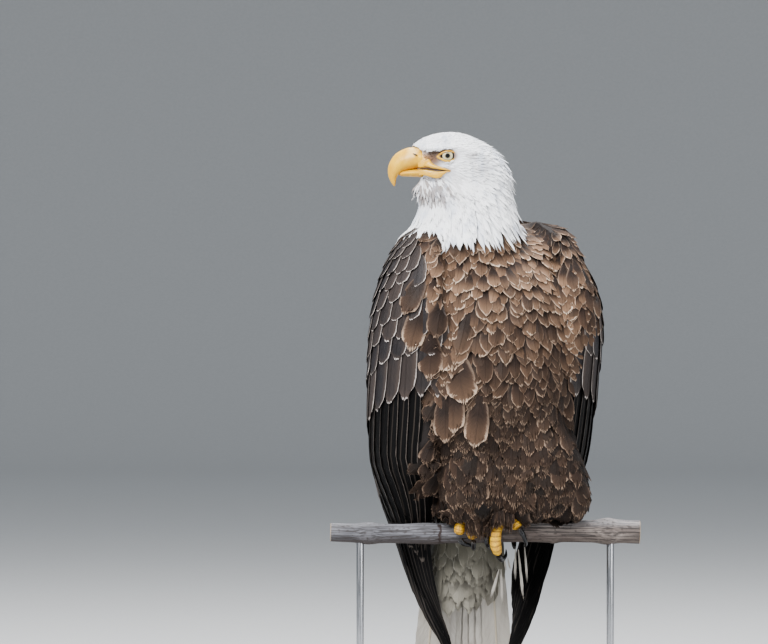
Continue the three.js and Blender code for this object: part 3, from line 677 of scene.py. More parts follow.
roots = scattered(feathered, white_spacing, seed=1)
scale = white_scale(roots)
round_neck = np.arctan2(*seen_from(head_frame, roots).T[1::-1])
LOCK = 0.27
to_lock = LOCK * np.round(round_neck / LOCK + 0.4 * np.sin(2.3 * round_neck)) - round_neck
in_locks = eased(scale, 0.35, 0.8)
at = seen_from(head_frame, roots)
throat = eased(at[:, 0], 20, 40) * eased(-at[:, 2], 4, 16)
longer = 1 + 0.25 * throat * (1 - eased(scale, 0.4, 0.9))
lengths = (6 + 33 * scale ** 1.15) * longer * (1 - 1.1 * in_locks * np.abs(to_lock)) * MM
lengths *= draw.uniform(0.85, 1.15, len(roots))
widths = (1.35 + 2.0 * scale) * draw.uniform(0.8, 1.15, len(roots)) * MM
shafts, ups = spines(roots, head_flow, lengths, stations=6, stiffness=0.5, sway=0.08, seed=3)

# The long hackles draw together into pointed locks.
neck_out = seen_from(head_frame, shafts[:, -1]) * [1, 1, 0]
pull = 0.5 * np.clip(to_lock, -0.2, 0.2) * in_locks
draw_together = np.cross([0, 0, 1], neck_out) * pull[:, None] * MM
draw_together = draw_together @ np.array(head_frame)[:3, :3].T
shafts += draw_together[:, None] * (np.linspace(0, 1, 6) ** 1.6)[None, :, None]
HACKLE = [(0, 0.45), (0.2, 0.85), (0.42, 1), (0.68, 0.78), (0.86, 0.4), (1, 0.04)]
hackles = [vane_blank(4, 6, HACKLE, fray=0.12, comb=0.12, seed=s) for s in range(6)]


def white_lift(along, chosen):
    reach = (lengths[chosen] * (0.06 + 0.13 * in_locks[chosen]) + stray[chosen])[:, None]
    return -0.35 * MM + (reach + 0.7 * MM) * along


nape = eased(-at[:, 0], 5, 30) * (draw.uniform(0, 1, len(roots)) < 0.16)
under_bill = (at[:, 2] < -5) & (at[:, 2] > -18)
loose_chin = eased(at[:, 0], 26, 42) * under_bill * (draw.uniform(0, 1, len(roots)) < 0.35)
stray = (nape * draw.uniform(1.2, 3.6, len(roots)) + loose_chin * draw.uniform(1.0, 3.5, len(roots))) * MM
at = seen_from(head_frame, roots)
at[:, 1] = np.abs(at[:, 1])
# Painted shade on the white feathers: behind and below the eye, above the gape and under the chin.
shadow = 0.6 * np.exp(-(np.linalg.norm((at - [-13, 34, 18]) / [15, 30, 3.4], axis=1) ** 2))
shadow += 0.5 * np.exp(-(np.linalg.norm((at - [-16, 36, 6]) / [9, 30, 8], axis=1) ** 2))
shadow += 0.5 * np.exp(-(np.linalg.norm((at - [33, 22, 3]) / [12, 30, 7], axis=1) ** 2)) * (at[:, 2] > 4)
shadow += 1.7 * np.exp(-(np.linalg.norm((at - [34, 14, -16]) / [22, 30, 12], axis=1) ** 2))
shadow = np.clip(shadow * draw.uniform(0.1, 1.6, len(roots)), 0, 0.9)
white_tone = np.stack([draw.uniform(0, 1, len(roots)), draw.uniform(0, 1, len(roots)), scale, shadow],
                      axis=1)
on_face = seen_from(head_frame, roots)[:, 2] > -8
for name, part in (("head_coat", np.flatnonzero(on_face)), ("neck_coat", np.flatnonzero(~on_face))):
    laid_coat(name, hackles, shafts[part], ups[part], widths[part],
              lambda along, chosen: white_lift(along, part[chosen]), white_tone[part], round_head,
              thickness=0.3 * MM, bow=0.3, seed=4, material=white_feather)

# ==== Body feathers =====================================================================
# The breast, belly, back and legs wear broad brown contour feathers with paler, worn edges.
# They are largest on the flanks and the back, and their tips are combed out low down.


def body_places(faces):
    return seen_from(body_frame, points[triangles[faces]].mean(1))


# Level sections of a wing, in the body's axes and for the left side: height, front edge,
# middle and rear edge, each with its place out and back, and the blade's half thickness.
WING_UPPER = {
    side: [
        (70, 73 + 2 * near, -25 - 4 * near, 129 + out, 27, 12, 105, 11),
        (110, 73 + lead, -40 - 12 * near, 131 + out, 21, 19, 109, 12),
        (150, 75 + lead, -50 - 12 * near, 131 + out, 16, 29, 110, 14),
        (190, 78 + lead, -60 - 12 * near, 131 + out, 8, 41, 109, 15),
        (230, 80 + lead, -68 - 12 * near, 131 + out, -3, 52, 105, 16),
        (262, 80 + lead, -70 - 12 * near, 128 + out, -8, 60, 98, 16),
        (290, 78 + lead, -64 - 12 * near, 120 + out, -8, 64, 90, 16),
        (320, 74 + lead, -50 - 12 * near, 107 + out, -3, 66, 76, 15),
        (345, 66 + lead, -30 - 12 * near, 92 + out, 4, 64, 58, 13),
        (358, 62 + lead, -12 - 12 * near, 80 + out, 9, 60, 42, 10), (366, 64, 2, 70, 12, 62, 26, 5),
    ]
    for side, near, lead, out in (("right", 1, 3, 0), ("left", 0, 2, -4))
}
WING_LOWER = {
    "right": [
        (-178, 22, 43, 24, 43, 23, 46, 1.2), (-149, 26, 43, 33, 44, 24, 54, 3),
        (-121, 38, 43, 48, 48, 32, 62, 4),
        (-87, 46, 43, 67, 58, 42, 70, 4.5), (-58, 51, 42, 76, 62, 50, 76, 5),
        (-25, 54, 40, 87, 62, 52, 84, 5.5),
        (0, 50, 34, 97, 62, 50, 90, 7), (22, 52, 18, 110, 46, 34, 98, 9),
        (42, 58, -5, 117, 35, 20, 101, 10),
    ],
    "left": [
        (-207, 37, 45, 36, 48, 35, 52, 1.2), (-180, 48, 35, 42, 48, 32, 58, 2.6),
        (-149, 62, 27, 52, 48, 34, 62, 3.4),
        (-121, 75, 24, 62, 50, 38, 68, 4), (-87, 86, 26, 72, 54, 44, 72, 4.5),
        (-58, 92, 24, 80, 56, 50, 76, 5),
        (-25, 98, 22, 86, 56, 52, 80, 6), (0, 98, 18, 98, 54, 48, 92, 7.5), (22, 92, 8, 106, 44, 34, 98, 9),
        (42, 82, -4, 116, 35, 20, 101, 10),
    ],
}


def wing_sheet(side):
    """The outside of a folded wing as a grid of heights by places from front to rear."""
    rows = np.array(WING_LOWER[side] + WING_UPPER[side])
    heights = np.linspace(rows[0, 0], rows[-1, 0], 80)
    fx, fy, mx, my, rx, ry, thick = [np.interp(heights, rows[:, 0], rows[:, k])[:, None]
                                     for k in range(1, 8)]
    u = np.linspace(0, 1, 41)[None, :]
    bend_x, bend_y = 2 * mx - (fx + rx) / 2, 2 * my - (fy + ry) / 2
    x = (1 - u) ** 2 * fx + 2 * u * (1 - u) * bend_x + u * u * rx
    y = (1 - u) ** 2 * fy + 2 * u * (1 - u) * bend_y + u * u * ry
    run = np.stack([np.gradient(x, axis=1), np.gradient(y, axis=1)], axis=2)
    run /= np.linalg.norm(run, axis=2, keepdims=True)
    swell = thick * (2 * np.sqrt(u * (1 - u))) ** 0.77
    grid = np.stack([x + run[..., 1] * swell, y - run[..., 0] * swell, heights[:, None] + 0 * u], axis=2)
    for _ in range(6):
        grid[1:-1] = (grid[1:-1] * 2 + grid[:-2] + grid[2:]) / 4
        grid[:, 1:-1] = (grid[:, 1:-1] * 2 + grid[:, :-2] + grid[:, 2:]) / 4
    grid = grid * [SIDES[side], 1, 1] * MM
    place = np.array(body_frame)
    grid = grid @ place[:3, :3].T + place[:3, 3]
    grid = grid + shoulder_rise(grid.reshape(-1, 3)).reshape(grid.shape)
    up, rear = np.gradient(grid, axis=0), np.gradient(grid, axis=1)
    out = np.cross(rear, up) * SIDES[side]
    out /= np.linalg.norm(out, axis=2, keepdims=True) + 1e-12
    return heights, grid, out


sheets = {side: wing_sheet(side) for side in SIDES}


def on_wing(spots, side):
    """Each spot's place from the front, 0, to the rear, 1, of a wing, and its height."""
    heights, grid, _ = sheets[side]
    tree = KDTree(grid.size // 3)
    for i, spot in enumerate(grid.reshape(-1, 3)):
        tree.insert(spot, i)
    tree.balance()
    found = np.array([tree.find(spot)[1] for spot in spots])
    return found % grid.shape[1] / (grid.shape[1] - 1), heights[found // grid.shape[1]]


def body_hem(side, heights):
    """How far back over each wing the body's own feathers reach, at each height."""
    reach = {"right": ([168, 180, 215, 290, 335, 352, 366], [-0.1, 0.02, 0.16, 0.2, 0.3, 0.7, 1.1]),
             "left": ([168, 190, 230, 290, 330, 345, 366], [-0.1, 0.08, 0.34, 0.5, 0.6, 1.1, 1.1])}
    return np.interp(heights, *reach[side])


def brown_size(spots):
    """Half of a body feather's width, in millimetres."""
    at = seen_from(body_frame, spots)
    flank = np.exp(-(((at[:, 0] + 66) / 28) ** 2) - (((at[:, 2] - 190) / 50) ** 2)) * (at[:, 1] < 0)
    back = eased(at[:, 1], 10, 60)
    low = 1 - eased(at[:, 2], 40, 130)
    return 8.4 + 5 * flank + 4.2 * back + 3.4 * low - 1.6 * eased(at[:, 2], 290, 350)


def brown_spacing(spots):
    return brown_size(spots) * 1.2 * MM


PALE_PATCHES = [(4, 282, 16, 44, 0.9), (60, 296, 34, 40, 0.9), (-50, 284, 24, 40, 0.6),
                (98, 260, 22, 70, 0.5)]


def paleness(roots, draw):
    """How sun-bleached the coat is: in patches over the breast and the left shoulder."""
    at = (roots - np.array(GRIP)) / MM
    front = at[:, 1] < 10
    pale = 0.12 + 0.2 * eased(at[:, 2], 60, 200)
    for x, z, wide, tall, share in PALE_PATCHES:
        pale = pale + front * share * np.exp(-(((at[:, 0] - x) / wide) ** 2) - (((at[:, 2] - z) / tall) ** 2))
    return np.clip(pale * draw.uniform(0.35, 1.35, len(roots)), 0, 1)


def trunk_coat(name, faces, blanks, seed, reach=3.9, rise=0.12, sway=0.17):
    roots = scattered(faces, brown_spacing, seed=seed, closer=1.55)
    draw = np.random.RandomState(seed + 1)
    half = brown_size(roots) * draw.uniform(0.82, 1.18, len(roots)) * MM
    lengths = half * reach * draw.uniform(0.9, 1.15, len(roots))
    shafts, ups = spines(roots, body_flow, lengths, stations=7, stiffness=0.35, sway=sway, seed=seed + 2)
    if name == "back_coat":                 # the back's feathers tuck in beside the wings
        ends = [face_owner[skin_tree.find_nearest(Vector(tip))[2]] for tip in shafts[:, -1]]
        kept = np.flatnonzero([not end.startswith("wing") for end in ends])
        roots, half, lengths, shafts, ups = [values[kept] for values in (roots, half, lengths, shafts, ups)]
    pale = paleness(shafts[:, -1], draw)
    # Painted shade: feathers are darkened more the lower they grow on the body.
    low_shade = 0.72 * (1 - eased(seen_from(body_frame, roots)[:, 2], 60, 320))
    low = low_shade * draw.uniform(0.3, 1.2, len(roots))
    tone = np.stack([draw.uniform(0, 1, len(roots)), draw.uniform(0, 1, len(roots)), pale, low], axis=1)

    def lift(along, chosen):
        return 0.3 * MM + (lengths[chosen] * rise * rises[chosen])[:, None] * along

    rises = draw.uniform(0.75, 1.25, len(roots))
    return laid_coat(name, blanks, shafts, ups, half, lift, tone, round_body, thickness=0.5 * MM, bow=0.2,
                     seed=seed + 3, material=brown_feather)


CONTOUR = [(0, 0.16), (0.2, 0.6), (0.45, 0.95), (0.65, 1), (0.82, 0.87), (0.93, 0.62), (1, 0.28)]
POINTED = [(0, 0.16), (0.2, 0.62), (0.42, 0.97), (0.6, 1), (0.78, 0.74), (0.91, 0.4), (1, 0.08)]
contours = [vane_blank(8, 8, CONTOUR, fray=0.07, comb=0.06, seed=s, tip=0.08) for s in range(6)]
contours += [vane_blank(8, 8, POINTED, fray=0.09, comb=0.08, seed=s, tip=0.03) for s in range(6, 10)]
WORN = [(0, 0.16), (0.2, 0.55), (0.45, 0.85), (0.65, 0.98), (0.82, 1), (0.93, 0.86), (1, 0.6)]
worn = [vane_blank(14, 7, WORN, fray=0.06, comb=0.16, seed=20 + s, tip=0.16) for s in range(8)]

under_collar = white_faces[middles[:, 2] < hem - 4]
trunk_faces = np.concatenate([owned("trunk"), under_collar])
place = body_places(trunk_faces)
breast = trunk_faces[(place[:, 1] < 22) & (place[:, 2] > 165)]
belly = trunk_faces[(place[:, 1] < 22) & (place[:, 2] <= 165)]
back = trunk_faces[place[:, 1] >= 22]
trunk_coat("breast_coat", breast, contours, 10)
trunk_coat("belly_coat", belly, worn, 20)
trunk_coat("back_coat", back, contours, 30)
trunk_coat("leg_coat", owned("thigh"), worn, 40, reach=4.2, rise=0.1)
for side in SIDES:
    arm = np.flatnonzero([name.startswith(f"wing_{side}") for name in face_owner])
    rear, height = on_wing(points[triangles[arm]].mean(1), side)
    out = face_normals[arm] @ np.array(body_frame.to_3x3())
    outward = out[:, 0] * SIDES[side] > -0.75 - 0.3 * eased(height, 300, 330)
    near = arm[(rear < body_hem(side, height)) & outward & (height > 160)]
    trunk_coat(f"shoulder_coat_{side}", near, contours, 44 + SIDES[side],
               rise={"right": 0.05, "left": 0.12}[side])


def widest(grid, reach, pick):
    """Each place's most forward or rearmost neighbour within reach."""
    edged = np.pad(grid, reach, mode="edge")
    around = np.lib.stride_tricks.sliding_window_view(edged, (2 * reach + 1, 2 * reach + 1))
    return pick(around, axis=(2, 3))


# Feathers bridge the creases beside the wings and between the legs, so the front is taken as a
# sheet that is stretched over them.
ACROSS, UPWARD, CELL = np.arange(-156, 157, 3.0), np.arange(-15, 394, 3.0), 3.0
front = np.full((len(ACROSS), len(UPWARD)), 60.0)
for i, x in enumerate(ACROSS):
    for k, z in enumerate(UPWARD):
        start = GRIP + Vector((x, -300, z)) * MM
        met = skin_tree.ray_cast(start, Vector((0, 1, 0)), 0.36)[0]
        front[i, k] = (met - GRIP).y / MM if met else 60
stretched_front = widest(widest(front, 7, np.min), 7, np.max)
for _ in range(4):
    inner = stretched_front[1:-1, 1:-1] * 4
    for shift in (slice(2, None), slice(None, -2)):
        inner = inner + stretched_front[shift, 1:-1] + stretched_front[1:-1, shift]
    stretched_front[1:-1, 1:-1] = inner / 8
stretched_front = np.minimum(stretched_front, front)


def draped(x, z):
    """A place on the stretched front and the way it faces."""
    at = np.array([(x - ACROSS[0]) / CELL, (z - UPWARD[0]) / CELL])
    i, k = np.clip(at.astype(int), 0, [len(ACROSS) - 2, len(UPWARD) - 2])
    a, b = at - (i, k)
    cell = stretched_front[i:i + 2, k:k + 2]
    y = (1 - a) * ((1 - b) * cell[0, 0] + b * cell[0, 1]) + a * ((1 - b) * cell[1, 0] + b * cell[1, 1])
    slopes = [(cell[1] - cell[0]).mean() / CELL, (cell[:, 1] - cell[:, 0]).mean() / CELL]
    slopes = np.clip(slopes, -1.6, 1.6)
    return GRIP + Vector((x, y, z)) * MM, Vector((slopes[0], -1, slopes[1])).normalized()


def over_front(rows, stations=8):
    """Shafts laid on the bird's front, from rows of tip place, half width, length and lean."""
    shafts, ups = [], []
    for x, z, _, length, lean in rows:
        lean = math.radians(lean)
        line = [draped(x + share * length * math.sin(lean), z + share * length * math.cos(lean))
                for share in np.linspace(1, 0, stations)]
        shafts.append([spot for spot, _ in line])
        ups.append([facing for _, facing in line])
    return np.array(shafts, float), np.array(ups, float)


def front_coat(name, limits, blanks, seed, pitch, lean, dark, stand=0.8, reach=3.8):
    """Body feathers over part of the front. limits are rows of height, left and right bound, and dark is how
    much painted shade darkens each feather.
    """
    draw = np.random.RandomState(seed)
    limits = np.array(limits, float)
    rows = []
    for number, z in enumerate(np.arange(limits[-1, 0], limits[0, 0], pitch * 0.72)):
        left, right = [np.interp(z, limits[::-1, 0], limits[::-1, k]) for k in (1, 2)]
        for x in np.arange(left + (number % 2) * pitch / 2, right, pitch):
            if front[int((x - ACROSS[0]) / CELL), int((z - UPWARD[0]) / CELL)] == 60:
                continue
            spot = (x + draw.normal(0, 1.3), z + draw.normal(0, 1.6))
            half = brown_size(np.array([draped(*spot)[0]]))[0] * draw.uniform(0.85, 1.15)
            tilt = np.interp(x, [-100, -40, 40, 130], lean) + draw.normal(0, 7)
            rows.append((*spot, half, half * reach * draw.uniform(0.92, 1.12), tilt))
    shafts, ups = over_front(rows)
    half, lengths = np.array([row[2] for row in rows]) * MM, np.array([row[3] for row in rows]) * MM
    pale = paleness(shafts[:, -1], draw)
    # Painted shade: each feather is darkened by up to dark.
    low = dark * draw.uniform(0.3, 1.2, len(rows))
    tone = np.stack([draw.uniform(0, 1, len(rows)), draw.uniform(0, 1, len(rows)), pale, low], axis=1)

    def lift(along, chosen):
        return stand * MM + 0.12 * lengths[chosen][:, None] * along

    return laid_coat(name, blanks, shafts, ups, half, lift, tone, round_body, thickness=0.5 * MM,
                     bow=0.2, seed=seed + 1, material=brown_feather)


LEANS = [16, 5, -3, -8]
front_coat("side_coat_right",
           [(320, -77, -32), (305, -78, -30), (268, -92, -34), (232, -92, -36), (195, -78, -36),
            (165, -60, -34), (120, -50, -30)], contours, 200, 12.5, LEANS, 0.0)
front_coat("side_coat_left",
           [(285, 84, 114), (262, 86, 128), (232, 90, 136), (200, 92, 138), (180, 94, 136)],
           contours, 204, 12.5, LEANS, 0.1, stand=3)
front_coat("belly_front", [(150, -20, 84), (110, -30, 92), (70, -36, 104), (30, -36, 108), (10, -30, 104)],
           worn, 208, 15.0, LEANS, 0.5, reach=4.0)

# The flank's broad feathers spread over the front edge of the right wing.
FLANK = [(-95, 251, 14, 48, 22), (-90, 212, 14.5, 50, 12), (-68, 176, 15, 52, 2), (-64, 224, 14, 46, 8),
         (-25, 145, 19, 62, -12), (-38, 112, 14, 54, 2), (-14, 95, 15, 60, 6), (-50, 100, 14, 56, 0)]
BROAD = [(0, 0.3), (0.2, 0.74), (0.45, 0.98), (0.7, 1), (0.86, 0.92), (0.95, 0.7), (1, 0.42)]
broad = [vane_blank(14, 9, BROAD, fray=0.04, comb=0.07, seed=40 + s, tip=0.1) for s in range(4)]
flank_shafts, flank_ups = over_front(FLANK)
flank_half = np.array([row[2] for row in FLANK]) * MM
draw = np.random.RandomState(62)
flank_tone = np.stack([draw.uniform(0, 1, len(FLANK)), draw.uniform(0.5, 1, len(FLANK)),
                       draw.uniform(0.1, 0.35, len(FLANK)), draw.uniform(0.0, 0.25, len(FLANK))], axis=1)
laid_coat("flank_feathers", broad, flank_shafts, flank_ups, flank_half,
          lambda along, chosen: 4 * MM + 6 * MM * along + 0 * chosen[:, None], flank_tone,
          round_body, thickness=0.6 * MM, bow=0.16, seed=63,
          material=brown_feather)


def lying(along, chosen):
    """The lift of feathers that lie flat on their lines."""
    return 0 * along + 0 * chosen[:, None]


# Loose, stringy feathers hang from the legs over the front of the branch, between the toes.
draw = np.random.RandomState(66)
FRINGES = [(-9, 11, 90, -20, -25), (13, 6, 34, -7, -30), (27, 4, 20, -12, -26), (43, 5, 6, 19, -24),
           (66, 14, 40, 4, -22), (-36, 7, 18, 4, -22), (-54, 9, 24, 6, -6)]
fringe_shafts, fringe_half = [], []
for middle, spread, count, fall, front in FRINGES:
    for _ in range(count):
        x, y = middle + draw.uniform(-1, 1) * spread, front - 3 * draw.uniform()
        top = Vector((x * 0.9 + 1, y + 14, 42 + draw.uniform(0, 18)))
        bend = Vector((x, y - 6, 12 + draw.uniform(0, 8)))
        end = Vector((x + draw.normal(0, 2.5), y, fall + draw.uniform(-2, 13)))
        shares = np.linspace(0, 1, 7)
        pull = bend * 2 - (top + end) / 2
        curve = [top * (1 - s) ** 2 + pull * 2 * s * (1 - s) + end * s * s for s in shares]
        fringe_shafts.append([GRIP + spot * MM for spot in curve])
        fringe_half.append(draw.uniform(2.0, 4.6))
fringe_shafts = np.array(fringe_shafts, float)
fringe_ups = np.broadcast_to(np.array([0.0, -0.96, 0.28]), fringe_shafts.shape)
STRING = [(0, 0.3), (0.4, 0.8), (0.7, 1), (0.9, 0.8), (1, 0.4)]
strings = [vane_blank(8, 7, STRING, fray=0.16, comb=0.42, seed=110 + s) for s in range(6)]
count = len(fringe_half)
fringe_tone = np.stack([draw.uniform(0, 0.8, count), draw.uniform(0, 0.6, count),
                        draw.uniform(0, 0.2, count), draw.uniform(0.1, 0.5, count)], axis=1)
laid_coat("leg_fringe", strings, fringe_shafts, fringe_ups, np.array(fringe_half) * MM,
          lying, fringe_tone, round_body,
          thickness=0.4 * MM, bow=0.3, seed=67, material=brown_feather)

# ==== Vent ==============================================================================
# Long, loose white feathers with soft webs grow from the skin of the vent, painted dusky olive as
# painted shade under the branch and the body. They hang straight down over the root of the tail,
# and the upper ones lie on the lower ones.


def vent_paint(tree):
    look = vane_of(tree, 4.0, 0.16, 0.2)
    place = object_places(tree)
    streaks = mottled(tree, stretched(tree, place, 300, 300, 16), 1.0, 3)
    up = add(tree, "ShaderNodeSeparateXYZ", {0: place}).outputs[2]
    low = rest_of(tree, ramped(tree, up, 0.165, 0.235))
    # Painted shade: the white vent feathers are painted dusky olive, for the shade under the branch and the
    # body.
    web = blended(tree, look["Random"], shade_of(60, 58, 47), shade_of(82, 79, 67))
    web = tinted(tree, web, ramped(tree, streaks, 0.4, 0.75), 0.5, (64, 61, 50))
    # Less painted shade toward the bottom: lighter there.
    web = tinted(tree, web, low, 0.85, (150, 145, 133))
    web = tinted(tree, web, ramped(tree, look["Along"], 0.4, 1.0), 0.45, (124, 120, 107))
    colour = tinted(tree, web, look["Edge"], 0.4, (160, 157, 146))
    colour = tinted(tree, colour, look["Shade"], 0.6, (66, 62, 50))
    height = total_of(tree, look["Barbs"], look["Rachis"])
    return colour, ramped(tree, look["Barbs"], -1.6, 2.4), height, 0.0002, {"Specular IOR Level": 0.3}


vent_feather = surface("vent feathers", vent_paint)
vent_faces = owned("vent")
vent_roots = scattered(vent_faces, lambda spots: np.full(len(spots), 10 * MM), seed=50, closer=1.3)
vent_place = seen_from(body_frame, vent_roots)
vent_roots = vent_roots[(vent_place[:, 2] > -72) & (vent_place[:, 1] < 80)]
draw = np.random.RandomState(51)
count = len(vent_roots)
vent_lengths = draw.uniform(40, 56, count) * MM
vent_widths = draw.uniform(6, 9.5, count) * MM
vent_shafts, vent_ups = spines(vent_roots, body_flow, vent_lengths, stations=7, stiffness=1.0,
                               sway=0.1, seed=52)
hang = np.array(body_frame.to_3x3() @ Vector((0, 0.1, -1)).normalized())
hanging = hang + draw.normal(0, 0.07, (count, 3))
steps = vent_lengths[:, None] * np.linspace(0, 1, 7)
vent_shafts = vent_shafts[:, :1] + hanging[:, None] * steps[:, :, None]
vent_ups = np.repeat(vent_ups[:, :1], 7, axis=1)
vent_ups = vent_ups - hang * (vent_ups @ hang)[:, :, None]
vent_ups /= np.linalg.norm(vent_ups, axis=2, keepdims=True) + 1e-9
vent_tone = np.stack([draw.uniform(0, 1, count), draw.uniform(0, 1, count), draw.uniform(0, 1, count),
                      draw.uniform(0, 0.5, count)], axis=1)
LOOSE = [(0, 0.2), (0.3, 0.75), (0.6, 1), (0.8, 0.92), (0.92, 0.62), (1, 0.2)]
loose = [vane_blank(12, 12, LOOSE, fray=0.06, comb=0.08, seed=120 + s, tip=0.06) for s in range(6)]
laid_coat("vent_coat", loose, vent_shafts, vent_ups, vent_widths,
          lambda along, chosen: (-1 + 4 * along) * MM + 0 * chosen[:, None], vent_tone, round_body,
          thickness=0.4 * MM, bow=0.22, seed=53, material=vent_feather)

# ==== Wings =============================================================================
# A folded wing is a fan of stiff flight feathers laid over each other, the inner ones on top.
# Rows of coverts hide their roots, each row shorter and rounder than the one below it.


def on_sheet(sheet, rear, height):
    """Points and outward directions at places from 0, front, to 1, rear, and at heights."""
    heights, grid, out = sheet
    level = np.interp(height, heights, np.arange(len(heights)))
    column = np.clip(rear, 0, 1) * (grid.shape[1] - 1)
    i = np.minimum(level.astype(int), len(heights) - 2)
    j = np.minimum(column.astype(int), grid.shape[1] - 2)
    a, b = (level - i)[..., None], (column - j)[..., None]

    def mixed(of):
        return ((1 - a) * ((1 - b) * of[i, j] + b * of[i, j + 1])
                + a * ((1 - b) * of[i + 1, j] + b * of[i + 1, j + 1]))

    spot, away = mixed(grid), mixed(out)
    beyond = np.minimum(height - heights[0], 0) + np.maximum(height - heights[-1], 0)
    spot = spot + np.array([0, 0, 1]) * beyond[..., None] * MM
    return spot, away / (np.linalg.norm(away, axis=-1, keepdims=True) + 1e-12)


def quills(sheet, root, tip, stations=14, bend=0.0):
    """Shafts over a wing's sheet from root to tip, each a (place from front, height) pair."""
    share = np.linspace(0, 1, stations)[None, :]
    root, tip = np.array(root), np.array(tip)
    rear = root[:, :1] * (1 - share) + tip[:, :1] * share + bend * np.sin(np.pi * share)
    height = root[:, 1:] * (1 - share) + tip[:, 1:] * share
    return on_sheet(sheet, rear, height)


def flight_paint(tree):
    look = vane_of(tree, 9.0, 0.15, 0.12)
    place = object_places(tree)
    streaks = mottled(tree, stretched(tree, place, 260, 260, 12), 1.0, 3)
    web = blended(tree, look["Random"], shade_of(1, 1, 1), shade_of(5, 5, 6))
    web = tinted(tree, web, ramped(tree, streaks, 0.4, 0.75), 0.5, (9, 8, 9))
    web = tinted(tree, web, look["Barbs"], 0.25, (11, 10, 11))
    worn = times(tree, look["Edge"], times(tree, look["Region"], 0.8))
    colour = blended(tree, worn, web, shade_of(146, 134, 126))
    shaft = times(tree, look["Rachis"], times(tree, look["Second"], 0.25))
    colour = blended(tree, shaft, colour, shade_of(104, 94, 86))
    colour = blended(tree, look["Shade"], colour, shade_of(4, 4, 5))
    height = total_of(tree, look["Barbs"], times(tree, look["Rachis"], 3.0))
    roughness = ramped(tree, look["Barbs"], -1.6, 2.6)
    return colour, roughness, height, 0.00025, {"Specular IOR Level": 0.06}


def covert_paint(tree):
    look = vane_of(tree, 4.4, 0.11)
    place = object_places(tree)
    cast = mottled(tree, place, 16, 2)
    web = blended(tree, look["Random"], shade_of(19, 20, 25), shade_of(48, 41, 39))
    web = tinted(tree, web, ramped(tree, cast, 0.4, 0.7), 0.6, (34, 28, 26))
    web = tinted(tree, web, look["Barbs"], 0.3, (60, 52, 48))
    outer = rest_of(tree, ramped(tree, look["Inward"], 0.0, 0.6))
    web = tinted(tree, web, outer, 0.3, (84, 71, 63))
    worn = times(tree, look["Edge"], total_of(tree, 0.5, times(tree, look["Second"], 0.45)))
    tip = total_of(tree, 0.4, times(tree, ramped(tree, look["Along"], 0.55, 0.9), 0.6))
    worn = times(tree, worn, tip)
    colour = blended(tree, times(tree, worn, look["Region"]), web, shade_of(214, 203, 196))
    colour = tinted(tree, colour, look["Rachis"], 0.3, (14, 12, 12))
    colour = blended(tree, look["Shade"], colour, shade_of(6, 6, 6))
    height = total_of(tree, look["Barbs"], times(tree, look["Rachis"], 1.5))
    roughness = ramped(tree, look["Random"], -2.0, 2.4)
    return colour, roughness, height, 0.0003, {"Specular IOR Level": 0.16}


flight_feather = surface("flight feathers", flight_paint)
covert_feather = surface("wing coverts", covert_paint)
REMEX = [(0, 0.1), (0.08, 0.55), (0.3, 0.9), (0.6, 1), (0.85, 0.9), (0.95, 0.62), (1, 0.2)]


def remex_blank(seed, lead=0.42, columns=8, rows=26):
    blank = vane_blank(columns, rows, REMEX, fray=0.02, seed=seed, tip=0.012)
    across = blank["shape"][:, 0]
    blank["shape"][:, 0] = np.where(across < 0, across * lead, across)
    return blank


remiges = [remex_blank(60 + s) for s in range(4)]
COVERT = [(0, 0.2), (0.2, 0.7), (0.5, 1), (0.75, 1), (0.88, 0.86), (0.96, 0.6), (1, 0.34)]
coverts = [vane_blank(8, 8, COVERT, fray=0.03, seed=70 + s, tip=0.05) for s in range(6)]


def fan(name, side, sheet, root, tip, half, offset, blanks, tone, rise=0.0, roll=0.0, thickness=0.7 * MM,
        seed=0, stations=14, bend=0.0, material=flight_feather):
    shafts, ups = quills(sheet, root, tip, stations=stations, bend=bend)
    half, offset = np.array(half) * MM, np.array(offset) * MM
    rise = np.broadcast_to(rise, half.shape) * MM

    def lift(along, chosen):
        return offset[chosen][:, None] + rise[chosen][:, None] * along

    hand = np.full(len(half), -SIDES[side])
    return laid_coat(name, blanks, shafts, ups, half, lift, tone, round_body, thickness=thickness,
                     bow=0.12, hand=hand, roll=roll, seed=seed, material=material)


def tones(count, seed, third=0.0):
    draw = np.random.RandomState(seed)
    return np.stack([draw.uniform(0, 1, count), draw.uniform(0, 1, count), np.full(count, third),
                     np.zeros(count)], axis=1)


LONGEST = {"right": -178, "left": -207}

